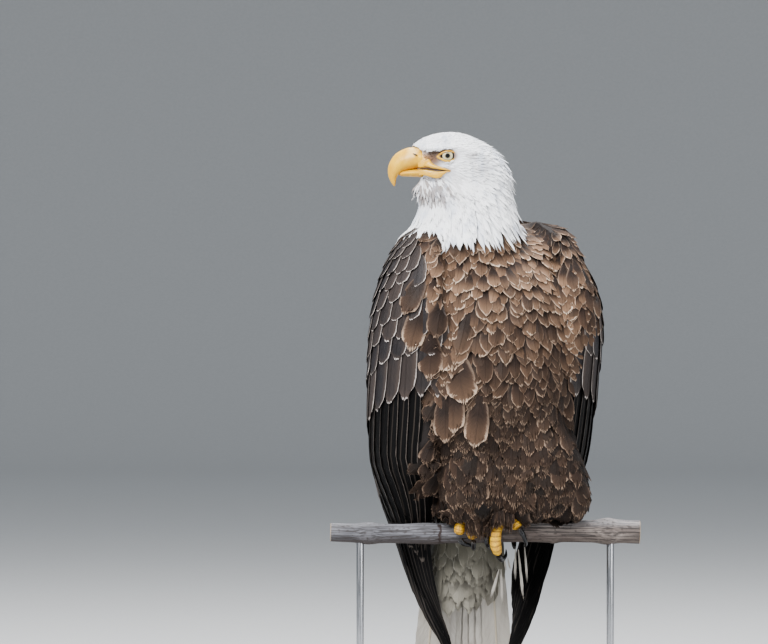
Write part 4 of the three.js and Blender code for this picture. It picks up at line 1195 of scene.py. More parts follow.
# Rows of coverts from the lowest: tip heights at the front and the rear edge, how many feathers,
# half width, length, how far their tips stand out, and how pale their rims are.
COVERT_ROWS = [
    ("greater", 152, 74, 13, 12.5, 104, 2.0, 0.75), ("median", 200, 140, 12, 12.5, 66, 3.0, 1.0),
    ("lesser", 226, 176, 11, 12, 52, 3.6, 1.0), ("lesser", 247, 206, 11, 11.5, 46, 3.8, 1.0),
    ("lesser", 267, 234, 11, 11, 42, 3.8, 1.0), ("lesser", 286, 259, 11, 10.5, 38, 3.8, 1.0),
    ("lesser", 303, 282, 11, 10, 34, 3.8, 0.9), ("lesser", 319, 303, 10, 9.5, 31, 3.8, 0.9),
    ("lesser", 333, 321, 10, 9, 28, 3.6, 0.8), ("lesser", 345, 336, 9, 8.5, 26, 3.4, 0.8),
    ("lesser", 355, 349, 8, 8, 24, 3.2, 0.8),
]
for side in SIDES:
    sheet = sheets[side]
    end = LONGEST[side]
    n = np.arange(10)                       # the innermost primary is 0
    order = n / 9
    tips = end + np.array([95, 84, 70, 54, 36, 18, 4, 0, 8, 30])
    root = np.stack([0.3 - 0.27 * order, 226 - 10 * order], axis=1)
    tip = np.stack([0.66 - 0.58 * order, tips], axis=1)
    primaries = fan(f"primaries_{side}", side, sheet, root, tip, 19 - 6 * order, -2.6 - 0.16 * n, remiges,
                    tones(10, 80, 0.1), roll=-0.1, seed=81)
    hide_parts(f"wing_{side}_primaries")
    m = np.arange(15)                       # the outermost secondary is 0
    order = m / 14
    root = np.stack([0.1 + 0.8 * order, 216 - 8 * order], axis=1)
    tip = np.stack([0.12 + 0.84 * order, end + 128 + 72 * order ** 0.8], axis=1)
    fan(f"secondaries_{side}", side, sheet, root, tip, 17 + 0 * order, -1.9 + 0.06 * m, remiges,
        tones(15, 82, 0.35), roll=-0.16, seed=83)
    draw = np.random.RandomState(88)
    rows = {"greater": [], "median": [], "lesser": []}
    for number, (kind, front, back_tip, count, half, length, stand, rim) in enumerate(COVERT_ROWS):
        for place in (np.arange(count) + 0.5 * (number % 2)) / (count - 0.5):
            size = draw.uniform(0.92, 1.1)
            low = front + (back_tip - front) * eased(place, 0.1, 0.85) + draw.uniform(-2.5, 2.5)
            if kind == "lesser" and place < body_hem(side, low) - 0.08:
                continue
            top = min(low + length * size, 364)
            rows[kind].append((place, top, place + draw.uniform(-0.004, 0.02), low, half * size, stand, rim,
                               draw.uniform(0, 1) ** 1.6, draw.uniform(0.3, 1)))
    for kind, slot in (("greater", "flight_feathers"), ("median", "flight_feathers"),
                       ("lesser", "brown_feathers")):
        table = np.array(rows[kind])
        tone = np.stack([table[:, 7], table[:, 8], table[:, 6], 0 * table[:, 0]], axis=1)
        fan(f"{kind}_coverts_{side}", side, sheet, table[:, 0:2], table[:, 2:4], table[:, 4],
            -0.8 + 0 * table[:, 0], coverts, tone, rise=table[:, 5], roll=-0.13, seed=90, stations=9,
            material=covert_feather)

# ==== Tail ==============================================================================
# Twelve broad white feathers, the middle pair on top and each pair further out laid under the
# one before it, so that the outer ones are nearest from the front.


def tail_paint(tree):
    look = vane_of(tree, 9.0, 0.22, 0.12)
    place = object_places(tree)
    streaks = mottled(tree, stretched(tree, place, 220, 220, 9), 1.0, 3)
    # Painted shade: the white tail is painted a light grey-cream, well below the head's white.
    web = blended(tree, look["Random"], shade_of(166, 161, 152), shade_of(186, 181, 173))
    web = tinted(tree, web, ramped(tree, streaks, 0.45, 0.8), 0.5, (128, 121, 112))
    web = tinted(tree, web, look["Barbs"], 0.2, (146, 140, 131))
    shaft = times(tree, look["Rachis"], 0.5)
    colour = blended(tree, shaft, web, shade_of(178, 162, 132))
    height = total_of(tree, look["Barbs"], times(tree, look["Rachis"], 3.0))
    return colour, ramped(tree, look["Barbs"], -1.4, 2.6), height, 0.00025, {"Specular IOR Level": 0.35}


tail_feather = surface("tail feathers", tail_paint)
number = np.arange(12) - 5.5
reach = np.linspace(0, 1, 14)[None, :, None]
pair = np.abs(number)
root = np.stack([5.2 * number, 84 - 0.9 * pair, 30 + 0 * number], axis=1)[:, None]
tip = np.stack([9.0 * number, 106 - 2.6 * pair, -228 + 0.5 * pair ** 1.7], axis=1)[:, None]
in_body = root * (1 - reach) + tip * reach + np.array([0, -5, 0]) * np.sin(np.pi * reach)
place = np.array(body_frame)
tail_shafts = (in_body * MM) @ place[:3, :3].T + place[:3, 3]
rear_side = body_frame.to_3x3() @ Vector((0, 1, 0.05))
tail_ups = np.broadcast_to(np.array(rear_side), tail_shafts.shape)
RECTRIX = [(0, 0.12), (0.1, 0.5), (0.35, 0.85), (0.7, 1), (0.9, 0.92), (0.97, 0.7), (1, 0.35)]
rectrices = [vane_blank(8, 26, RECTRIX, fray=0.03, seed=100 + s, tip=0.02) for s in range(4)]
tail_feathers = laid_coat("tail_feathers", rectrices, tail_shafts, tail_ups, np.full(12, 18.5) * MM,
                          lying, tones(12, 104), round_body, thickness=0.8 * MM, bow=0.1, seed=105,
                          material=tail_feather)
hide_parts("tail")

# A few long plumes hang from the left thigh, in front of the wing.
# Each row is the root's and the tip's place across and up, and half the plume's width.
PLUMES = [(37.5, -34, 37, -73, 1.5), (41, -36, 47, -96, 1.7), (48.5, -30, 52, -74, 1.4),
          (23.5, -44, 26, -62, 1.1), (28, -46, 31, -60, 1.1), (17.6, -60, 7.2, -96, 1.8),
          (20, -60, 21.5, -103, 1.5)]
drop = np.linspace(0, 1, 8)
plume_shafts = np.array([[GRIP + Vector((x0 + (x1 - x0) * s, 30 - 3 * math.sin(math.pi * s),
                                         z0 + (z1 - z0) * s)) * MM
                          for s in drop] for x0, z0, x1, z1, _ in PLUMES], float)
plume_tone = np.array([[0.5, 0.9, 0.5, 0.0]] * len(PLUMES))
laid_coat("plumes", strings, plume_shafts, np.broadcast_to([0.0, -1.0, 0.0], plume_shafts.shape),
          np.array([row[4] for row in PLUMES]) * MM, lying, plume_tone, round_body,
          thickness=0.4 * MM, bow=0.2, seed=54, material=tail_feather)

# ==== Bill ==============================================================================
# A deep, hooked bill of yellow horn: an upper half with a soft cere and two nostrils at its
# base, and a shallower lower half that shuts inside it.


def smooth_line(knots, count=240):
    """Evenly spaced points on a smooth line through the knots."""
    knots = np.array(knots, float)
    ends = np.vstack([2 * knots[0] - knots[1], knots, 2 * knots[-1] - knots[-2]])
    t = np.linspace(0, len(knots) - 1, count)
    i = np.minimum(t.astype(int), len(knots) - 2)
    f = (t - i)[:, None]
    a, b, c, d = ends[i], ends[i + 1], ends[i + 2], ends[i + 3]
    square, cube = 2 * a - 5 * b + 4 * c - d, 3 * b - a - 3 * c + d
    line = 0.5 * (2 * b + (c - a) * f + square * f ** 2 + cube * f ** 3)
    gone = np.concatenate([[0], np.cumsum(np.linalg.norm(np.diff(line, axis=0), axis=1))])
    even = np.linspace(0, gone[-1], count)
    return np.stack([np.interp(even, gone, line[:, k]) for k in range(3)], axis=1)


def long_form(name, placing, knots, sizes, around, rings, across, cap=0.12, flat=False, relief=None):
    """A closed piece along a smooth line. sizes are rows of place, half width and half depth."""
    form = bmesh.new()
    bmesh.ops.create_uvsphere(form, u_segments=around, v_segments=rings, radius=1)
    ball = np.array([v.co for v in form.verts])
    t = np.arccos(np.clip(-ball[:, 2], -1, 1)) / math.pi
    angle = np.arctan2(ball[:, 1], ball[:, 0])
    ends = np.minimum(t, 1 - t)
    closing = np.where(ends < cap, np.sqrt(np.clip(1 - (1 - ends / cap) ** 2, 0, 1)), 1)
    if flat:
        closing = np.clip(ends / cap, 0, 1)
        t = np.clip((t - cap) / (1 - 2 * cap), 0, 1)
    line = smooth_line(knots)
    course = np.gradient(line, axis=0)
    course /= np.linalg.norm(course, axis=1, keepdims=True)
    at = t * (len(line) - 1)
    whole = np.arange(len(line))
    middle = np.stack([np.interp(at, whole, line[:, k]) for k in range(3)], axis=1)
    ahead = np.stack([np.interp(at, whole, course[:, k]) for k in range(3)], axis=1)
    side = np.array(across, float) - ahead * (ahead @ np.array(across, float))[:, None]
    side /= np.linalg.norm(side, axis=1, keepdims=True)
    up = np.cross(ahead, side)
    sizes = np.array(sizes, float)
    wide, tall = np.interp(t, sizes[:, 0], sizes[:, 1]), np.interp(t, sizes[:, 0], sizes[:, 2])
    level, rise = np.cos(angle), np.sin(angle)
    if relief:
        level, rise = relief(t, angle, level, rise)
    place = middle + side * (wide * level * closing)[:, None] + up * (tall * rise * closing)[:, None]
    for vert, spot in zip(form.verts, place):
        vert.co = placing @ Vector(spot * MM)
    bmesh.ops.recalc_face_normals(form, faces=form.faces[:])
    made = piece_from(name, form)
    made.data.shade_smooth()
    store = np.stack([t, np.sin(angle) * 0.5 + 0.5, np.cos(angle) * 0.5 + 0.5, np.ones(len(t))], axis=1)
    hold(made.data, "form", store)
    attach(made, "root")
    return made


def push_in(piece, placing, centre, radii, depth, turned=0.0):
    """Presses a small hollow into both sides of a piece, and returns how deep each point is."""
    spots = vertex_array(piece.data)
    at = seen_from(placing, spots)
    off = np.abs(at) * [0, 1, 0] + at * [1, 0, 1] - centre
    x = off[:, 0] * math.cos(turned) + off[:, 2] * math.sin(turned)
    z = -off[:, 0] * math.sin(turned) + off[:, 2] * math.cos(turned)
    hollow = np.exp(-(((x / radii[0]) ** 2 + (z / radii[2]) ** 2) ** 1.5)) * (np.abs(off[:, 1]) < radii[1])
    pressed = spots - vertex_array(piece.data, "normal") * (hollow * depth * MM)[:, None]
    piece.data.vertices.foreach_set("co", pressed.astype(np.float32).ravel())
    return hollow


def marked(piece, name, values):
    """Stores one number per vertex for the paint."""
    hold(piece.data, name, np.repeat(np.asarray(values)[:, None], 4, axis=1))


def bill_section(t, angle, level, rise):
    """Narrower over the ridge than along the cutting edge, and fuller at the cere."""
    narrowing = 1 - 0.34 * np.clip(rise, 0, 1) ** 1.4
    cere = 1 + 0.035 * (1 - eased(t, 0.19, 0.26))
    groove = 1 - 0.016 * np.exp(-(((t - 0.24) / 0.012) ** 2))
    return level * narrowing * cere * groove, rise * cere * groove


UPPER_LINE = [[34, 0, 14.4], [46, 0, 16.7], [58, 0, 16.2], [68, 0, 12.6], [76, 0, 5.2], [79.6, 0, -5],
              [77.6, 0, -17.6]]
UPPER_SIZES = [(0, 14, 11), (0.17, 15.6, 13.2), (0.36, 13.8, 13.5), (0.53, 11, 12.2), (0.7, 7.6, 8.6),
               (0.85, 4.3, 4.5), (0.95, 2.0, 2.1), (1, 0.9, 0.9)]
LOWER_LINE = [[25, 0, -1.6], [40, 0, -1.2], [56, 0, -1.4], [66, 0, -2.0], [72.5, 0, -2.6]]
LOWER_SIZES = [(0, 18, 5.2), (0.3, 15.2, 5.2), (0.65, 11.5, 4.6), (0.88, 7.4, 3.4), (1, 3.4, 1.6)]
bill_upper = long_form("upper_bill", head_frame, UPPER_LINE, UPPER_SIZES, 96, 110, (0, 1, 0), cap=0.05,
                       relief=bill_section)
nostril = push_in(bill_upper, head_frame, [53.5, 12, 20.2], [3.4, 9, 1.25], 1.6, turned=0.5)
marked(bill_upper, "nostril", nostril)
bill_lower = long_form("lower_bill", head_frame, LOWER_LINE, LOWER_SIZES, 72, 64, (0, 1, 0), cap=0.05)


def stored(tree, name):
    """The three numbers that the mesh holds under a name."""
    held = add(tree, "ShaderNodeAttribute", attribute_name=name)
    return add(tree, "ShaderNodeSeparateColor", {0: held.outputs["Color"]}).outputs


def horn_paint(tree):
    parts = stored(tree, "form")
    nostril_shade = add(tree, "ShaderNodeAttribute", attribute_name="nostril").outputs["Fac"]
    place = object_places(tree)
    cloud = mottled(tree, place, 70, 3)
    flakes = mottled(tree, stretched(tree, place, 700, 700, 260), 1.0, 3)
    colour = blended(tree, ramped(tree, cloud, 0.3, 0.75), shade_of(198, 144, 0), shade_of(218, 168, 0))
    # Painted highlight: a pale peach band along the side of the bill.
    band = total_of(tree, parts[0], times(tree, maths(tree, "SUBTRACT", parts[1], 0.5), 0.28))
    painted_sheen = times(tree, ramped(tree, band, 0.27, 0.34), rest_of(tree, ramped(tree, band, 0.42, 0.52)))
    painted_sheen = times(tree, painted_sheen, ramped(tree, total_of(tree, parts[1], times(tree, cloud, 0.3)), 0.45, 0.8))
    colour = tinted(tree, colour, painted_sheen, 0.5, (240, 206, 134))
    # Painted highlight along the top of the bill.
    ridge = ramped(tree, parts[1], 0.93, 0.995)
    colour = tinted(tree, colour, ridge, 0.3, (234, 196, 116))
    colour = tinted(tree, colour, ramped(tree, flakes, 0.5, 0.8), 0.3, (164, 112, 0))
    low = rest_of(tree, ramped(tree, parts[1], 0.02, 0.3))
    colour = tinted(tree, colour, low, 0.45, (166, 112, 8))
    tip = ramped(tree, parts[0], 0.9, 1.0)
    colour = tinted(tree, colour, tip, 0.4, (170, 110, 40))
    # Painted shade: the nostril's hollow is near black.
    colour = blended(tree, ramped(tree, nostril_shade, 0.25, 0.7), colour, shade_of(34, 18, 10))
    rough = total_of(tree, 0.36, times(tree, flakes, 0.24))
    return colour, rough, flakes, 0.00018, {"Coat Weight": 0.03, "Coat Roughness": 0.25,
                                            "Specular IOR Level": 0.35}


horn = surface("yellow horn", horn_paint)
bill_upper.data.materials.append(horn)
bill_lower.data.materials.append(horn)
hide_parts("bill_upper")
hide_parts("bill_lower")

# ==== Gape ==============================================================================
# Soft yellow lips run back from the bill's cutting edges and taper to the corner of the mouth,
# below the front of the eye.


def cheek(x, z, side, out=0.0):
    """A place on the side of the face, in the head's axes, standing out by some millimetres."""
    start = head_frame @ (Vector((x, side * 70, z)) * MM)
    course = head_frame.to_3x3() @ Vector((0, -side, 0))
    found = skin_tree.ray_cast(start, course, 0.07)[0]
    y = abs(seen_from(head_frame, np.array(found)[None])[0, 1]) if found else 12.0
    return [x, side * (max(y, 11.5) + out), z]


lip_forms, shade_lines = [], []
for side in SIDES.values():
    upper = [[50, side * 12.8, 13.6], [46, side * 14.6, 12.9], [41, side * 16.2, 11.6],
             cheek(38, 9.4, side, 0.8)]
    upper += [cheek(34, 6.9, side, 0.9), cheek(28, 5.0, side, 1.0), cheek(20, 2.9, side, 0.9),
              cheek(11.3, 0.9, side, 0.4)]
    lower = [[50, side * 11.8, -0.4], [42, side * 15.6, -0.6], cheek(34, -2.2, side, 0.8),
             cheek(28, -3.4, side, 1.0)]
    lower += [cheek(25, -3.2, side, 1.0), cheek(21, -1.6, side, 0.9), cheek(17, -0.3, side, 0.7),
              cheek(11.5, 0.2, side, 0.3)]
    lip_forms.append(long_form(f"upper_lip_{side}", head_frame, upper, [
        (0, 0.4, 7.4), (0.1, 1.3, 8.2), (0.22, 2.0, 6.9), (0.31, 2.1, 4.6), (0.41, 2.1, 3.1),
        (0.56, 2.0, 2.1),
        (0.76, 1.5, 1.3), (1, 0.7, 0.5)],
        24, 70, (0, side, 0), cap=0.04))
    lip_forms.append(long_form(f"lower_lip_{side}", head_frame, lower, [
        (0, 0.4, 3.4), (0.2, 1.6, 4.0), (0.41, 2.0, 4.7), (0.57, 2.1, 4.9), (0.65, 2.0, 4.1),
        (0.75, 1.7, 2.5),
        (0.86, 1.3, 1.2), (1, 0.7, 0.5)],
        24, 70, (0, side, 0), cap=0.04))
    # Painted shade: a dark line laid in the parting of the lips.
    parting = [[52, side * 12.6, 4.4], [46, side * 16.0, 4.1], [41, side * 17.9, 3.8],
               cheek(34, 3.1, side, 1.1), cheek(28, 2.2, side, 1.2),
               cheek(20, 1.4, side, 1.1), cheek(12.5, 0.9, side, 0.6)]
    shade_lines.append(long_form(f"mouth_line_{side}", head_frame, parting,
                                 [(0, 0.4, 0.5), (0.3, 1.2, 1.0), (0.8, 1.1, 0.9), (1, 0.5, 0.4)],
                                 16, 60, (0, side, 0), cap=0.06))
    # Painted shadow: a dark line laid under the brow ridge.
    under_brow = [cheek(40, 23.9, side, 0.2), cheek(36, 22.8, side, 0.4), cheek(30, 22.5, side, 0.5),
                  cheek(25, 23.4, side, 0.7), cheek(20.5, 25.2, side, 1.0), cheek(15, 26.2, side, 1.0),
                  cheek(9, 25.6, side, 0.8)]
    shade_lines.append(long_form(f"brow_shadow_line_{side}", head_frame, under_brow,
                                 [(0, 0.3, 0.3), (0.25, 0.9, 1.0), (0.6, 0.9, 0.9), (1, 0.3, 0.3)],
                                 16, 60, (0, side, 0), cap=0.06))


# Painted shade: the dark brown of the lines in the mouth's parting and under the brow.
def shade_line_paint(tree):
    grain = mottled(tree, object_places(tree), 1200, 3)
    colour = blended(tree, grain, shade_of(34, 22, 14), shade_of(72, 50, 32))
    return colour, ramped(tree, grain, -1.0, 1.6), grain, 0.0001, {"Specular IOR Level": 0.2}


shade_line_look = surface("painted shade lines of the face", shade_line_paint)
for piece in shade_lines:
    piece.data.materials.append(shade_line_look)


def lip_paint(tree):
    place = object_places(tree)
    parts = stored(tree, "form")
    folds = mottled(tree, stretched(tree, place, 300, 300, 1300), 1.0, 3)
    colour = blended(tree, folds, shade_of(196, 140, 0), shade_of(220, 170, 4))
    rear = times(tree, ramped(tree, parts[0], 0.8, 1.0), 0.6)
    colour = blended(tree, rear, colour, shade_of(140, 84, 24))
    return colour, ramped(tree, folds, -0.6, 2.0), folds, 0.0004, {"Coat Weight": 0.1}


lips = surface("gape", lip_paint)
for piece in lip_forms:
    piece.data.materials.append(lips)

# ==== Eyes ==============================================================================
# A pale straw iris round a small black pupil, under a clear, wet cornea, with a dark rim and a
# bare yellow lid that comes to a point in front.
GAZE = Vector((0.1, 0.99, -0.02)).normalized()


def eye_paint(tree):
    parts = stored(tree, "gaze")
    radius, turn = parts[0], parts[1]
    spokes = add(tree, "ShaderNodeCombineXYZ", {0: times(tree, radius, 2.0), 1: times(tree, turn, 40.0)})
    fibres = mottled(tree, spokes.outputs[0], 1.6, 3)
    iris = blended(tree, fibres, shade_of(140, 130, 96), shade_of(214, 204, 164))
    iris = blended(tree, rest_of(tree, ramped(tree, radius, 0.28, 0.42)), iris, shade_of(104, 94, 70))
    rim = ramped(tree, radius, 0.56, 0.65)
    colour = blended(tree, rim, iris, shade_of(14, 11, 10))
    colour = blended(tree, ramped(tree, radius, 0.84, 0.95), colour, shade_of(120, 96, 78))
    pupil = rest_of(tree, ramped(tree, radius, 0.25, 0.285))
    colour = blended(tree, pupil, colour, shade_of(3, 3, 4))
    rough = total_of(tree, 0.25, times(tree, fibres, 0.2))
    return colour, rough, fibres, 0.00003, {"Coat Weight": 0.2, "Coat Roughness": 0.02,
                                            "Specular IOR Level": 0.15}


eye_look = surface("eyes", eye_paint)


def lid_paint(tree):
    place = object_places(tree)
    parts = stored(tree, "form")
    grain = mottled(tree, place, 1500, 3)
    # Painted shade: the upper lid is darker, under the brow.
    colour = blended(tree, ramped(tree, parts[0], 0.35, 0.75), shade_of(212, 162, 6), shade_of(186, 134, 6))
    colour = tinted(tree, colour, ramped(tree, grain, 0.4, 0.75), 0.5, (112, 68, 18))
    # Painted shade: the lid's inner edge, where it meets the eyeball, is near black.
    colour = blended(tree, ramped(tree, parts[1], 0.62, 0.95), colour, shade_of(30, 22, 18))
    return colour, ramped(tree, grain, -0.4, 1.8), grain, 0.0002, {"Coat Weight": 0.2}


lid_look = surface("eyelids", lid_paint)
for name, side in SIDES.items():
    middle = Vector((EYE["ahead"], side * EYE["out"], EYE["up"]))
    axis = Vector((GAZE.x, side * GAZE.y, GAZE.z))
    form = bmesh.new()
    bmesh.ops.create_uvsphere(form, u_segments=64, v_segments=40, radius=EYE["radius"] - 0.1)
    turned = Vector((0, 0, 1)).rotation_difference(axis).to_matrix()
    gaze = []
    for vert in form.verts:
        gaze.append([math.hypot(vert.co.x, vert.co.y) / 10 if vert.co.z > 0 else 1.0,
                     math.atan2(vert.co.y, vert.co.x) / 6.2832 + 0.5, 0, 1])
        vert.co = head_frame @ ((middle + turned @ vert.co) * MM)
    eye = piece_from(f"eyeball_{name}", form)
    eye.data.shade_smooth()
    hold(eye.data, "gaze", gaze)
    eye.data.materials.append(eye_look)
    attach(eye, "root")
    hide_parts(f"eye_{name}")

    # The lid is a soft ring that lies on the ball and runs out on to the face.
    form = bmesh.new()
    bmesh.ops.create_grid(form, x_segments=80, y_segments=12, size=1)
    marks = []
    for vert in form.verts:
        turn, across = vert.co.x * math.pi, (vert.co.y + 1) * math.pi
        front = max(0.0, math.cos(turn)) ** 8
        rear = max(0.0, -math.cos(turn)) ** 10
        wide = 9.5 + 2.4 * front + 0.8 * rear
        tall = 6.5 if math.sin(turn) < 0 else 5.3 - 0.5 * math.cos(turn)
        thick = 1.35 + 0.5 * front + 0.25 * max(0.0, -math.sin(turn))
        ring = Vector((wide * math.cos(turn), 0, tall * math.sin(turn) - 1.0 * front))
        outward = Vector((math.cos(turn), 0, math.sin(turn)))
        off = math.hypot(ring.x, ring.z)
        ball = math.sqrt(max(0.0, EYE["radius"] ** 2 - min(off, EYE["radius"] - 0.3) ** 2))
        rise = ball + 0.2 + 0.9 * front
        spot = ring + outward * thick * math.cos(across)
        spot.y = rise + 1.1 * math.sin(across) - 0.25 * thick * math.cos(across) * (off / 6)
        marks.append([math.sin(turn) * 0.5 + 0.5, 0.5 - 0.5 * math.cos(across), 0, 1])
        vert.co = head_frame @ ((middle + Vector((spot.x, side * spot.y, spot.z))) * MM)
    lid = piece_from(f"eyelid_{name}", form)
    hold(lid.data, "form", marks)
    form = bmesh.new()
    form.from_mesh(lid.data)
    bmesh.ops.remove_doubles(form, verts=form.verts, dist=1e-6)
    bmesh.ops.recalc_face_normals(form, faces=form.faces[:])
    form.to_mesh(lid.data)
    form.free()
    lid.data.shade_smooth()
    lid.data.materials.append(lid_look)
    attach(lid, "root")

# ==== Bristles ==========================================================================
# Short dark bristles, each a feather with almost no web, grow from the bare skin between the
# bill and the eye, and lie back.
draw = np.random.RandomState(130)
bristle_shafts, bristle_ups = [], []
for side in SIDES.values():
    for _ in range(110):
        x, z = draw.uniform(20, 45), draw.uniform(9, 25)
        if z < 24 - 0.42 * x + 4 or abs(x - EYE["ahead"]) < 12 and z > 14:
            continue
        start = head_frame @ (Vector((x, side * 70, z)) * MM)
        spot, out, _, _ = skin_tree.ray_cast(start, head_frame.to_3x3() @ Vector((0, -side, 0)), 0.07)
        if not spot:
            continue
        lean = head_frame.to_3x3() @ Vector((-0.8, 0, draw.normal(0.25, 0.35)))
        long = draw.uniform(3.0, 6.5) * MM
        shares = np.linspace(0, 1, 4)
        bristle_shafts.append([spot + lean * long * s + out * (0.3 * MM + 0.25 * long * s) for s in shares])
        bristle_ups.append([out] * 4)
bristle_shafts, bristle_ups = np.array(bristle_shafts, float), np.array(bristle_ups, float)
BRISTLE = [(0, 0.8), (0.5, 1), (1, 0.1)]
bristle_blanks = [vane_blank(2, 3, BRISTLE, seed=131)]
bristle_tone = np.stack([draw.uniform(0, 1, len(bristle_shafts)), draw.uniform(0, 1, len(bristle_shafts)),
                         0 * bristle_shafts[:, 0, 0], draw.uniform(0.3, 1, len(bristle_shafts))], axis=1)
laid_coat("bristles", bristle_blanks, bristle_shafts, bristle_ups,
          np.full(len(bristle_shafts), 0.16) * MM,
          lying, bristle_tone, round_head,
          thickness=0.15 * MM, bow=0.3, seed=132, material=brown_feather)

# ==== Legs and feet =====================================================================
# Short bare shanks and four toes a side in thick yellow skin. A row of broad plates runs along
# the top of each toe and soft pads lie under it, with fine round scales on the flanks.
KNOTS = [(-142, 2.2, 12), (-74, 0.9, 16), (78, 1.1, 14), (148, 2.8, 11)]


def perch_radius(x):
    return 12.6 + 1.5 * x / 188 + sum(size * math.exp(-(((x - place) / spread) ** 2))
                                      for place, size, spread in KNOTS)


def round_perch(x, wrap, lift):
    reach, turn = perch_radius(x) + lift, math.radians(wrap)
    return [x, -reach * math.sin(turn), -13.6 + reach * math.cos(turn)]


def grip_line(x0, x1, wrap0, wrap1):
    """A toe's line round the branch."""
    return [round_perch(x0 + (x1 - x0) * t, wrap0 + (wrap1 - wrap0) * t, 8.2) for t in (0, 0.33, 0.66, 1)]


def curl_line(x0, x1, wrap0, wrap1):
    """A talon's line, on from the toe and in against the branch."""
    way, drift = math.copysign(1, wrap1 - wrap0), (x1 - x0) * 0.3
    return [round_perch(x1 + drift * t, wrap1 + way * (4 + 88 * t),
                        8.4 - 5 * t + 2.4 * math.sin(math.pi * t))
            for t in (0, 0.35, 0.7, 1)]


GRIPS = {
    ("right", 1): (-18, -14, -22, -98), ("right", 2): (-10, 1, 26, 92), ("right", 3): (-20, -15, 30, 112),
    ("right", 4): (-27, -33, 24, 96), ("left", 1): (31, 35, -22, -98), ("left", 4): (41, 64, -8, -36),
}
HANGING = {
    ("left", 2): [[23, -10, 4.5], [13.5, -19.5, -7], [12, -22.5, -25], [15.5, -23, -41]],
    ("left", 3): [[30, -8, 5.5], [34, -16.5, 1], [40, -20.5, -8]],
}
CLAWS = {
    ("right", 4): [[-31, -17.5, -21], [-27, -18.5, -26], [-14, -13, -30.5]],
    ("left", 2): [[15.6, -15, -41], [20, -8, -46], [25, 0, -42], [25.5, 4, -34]],
    ("left", 3): [[40.6, -20.6, -8.8], [46, -22, -17], [49, -18, -27], [46.5, -10, -31]],
}
grip_frame = Matrix.Translation(GRIP)


def form_of(piece):
    store = np.zeros(len(piece.data.vertices) * 4, np.float32)
    piece.data.attributes["form"].data.foreach_get("color", store)
    return store.reshape(-1, 4)


def scutes(count):
    """The relief of a toe: plates on top, pads below."""
    def relief(t, angle, level, rise):
        lean = t + 0.014 * np.cos(2 * angle)
        plate = np.abs(np.sin(np.pi * count * lean)) ** 0.45
        pad = np.abs(np.sin(np.pi * (0.35 + 3.1 * t))) ** 0.5
        on_top, beneath = eased(rise, -0.15, 0.5), eased(-rise, 0.2, 0.8)
        grow = 1 + 0.12 * (plate - 0.7) * on_top + 0.12 * (pad - 0.6) * beneath
        return level * grow * (1 - 0.06 * on_top), rise * grow
    return relief


def scale_paint(tree):
    groove = add(tree, "ShaderNodeAttribute", attribute_name="groove").outputs["Fac"]
    place = object_places(tree)
    cells = add(tree, "ShaderNodeTexVoronoi", {"Vector": place, "Scale": 620.0},
                feature="DISTANCE_TO_EDGE").outputs[0]
    seams = rest_of(tree, ramped(tree, cells, 0.0, 0.16))
    cloud = mottled(tree, place, 160, 3)
    colour = blended(tree, ramped(tree, cloud, 0.3, 0.7), shade_of(202, 146, 0), shade_of(226, 180, 6))
    colour = tinted(tree, colour, seams, 0.6, (142, 92, 10))
    grime = times(tree, ramped(tree, mottled(tree, place, 330, 4), 0.5, 0.68), 0.5)
    colour = blended(tree, grime, colour, shade_of(120, 72, 30))
    colour = tinted(tree, colour, groove, 0.8, (84, 48, 18))
    height = maths(tree, "SUBTRACT", cloud, total_of(tree, times(tree, seams, 0.5), groove))
    return colour, ramped(tree, cloud, -0.7, 1.7), height, 0.0004, {"Specular IOR Level": 0.45}


scaled = surface("scaled skin", scale_paint)


def scaled_foot_piece(piece, count, node):
    form = form_of(piece)
    arch = 0.014 * np.cos(2 * np.arcsin(np.clip(2 * form[:, 1] - 1, -1, 1)))
    plate = np.abs(np.sin(np.pi * count * (form[:, 0] + arch)))
    marked(piece, "groove", (1 - eased(plate, 0.05, 0.6)) * eased(form[:, 1], 0.42, 0.72))
    piece.data.materials.append(scaled)
    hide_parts(node)


def claw_paint(tree):
    parts = stored(tree, "form")
    place = object_places(tree)
    grain = mottled(tree, stretched(tree, place, 900, 900, 200), 1.0, 3)
    colour = blended(tree, grain, shade_of(4, 4, 5), shade_of(16, 17, 20))
    base = rest_of(tree, ramped(tree, parts[0], 0.0, 0.22))
    colour = tinted(tree, colour, base, 0.3, (60, 54, 50))
    gloss = {"Coat Weight": 0.1, "Coat Roughness": 0.15, "Specular IOR Level": 0.25}
    return colour, ramped(tree, grain, -0.5, 2.6), grain, 0.0001, gloss


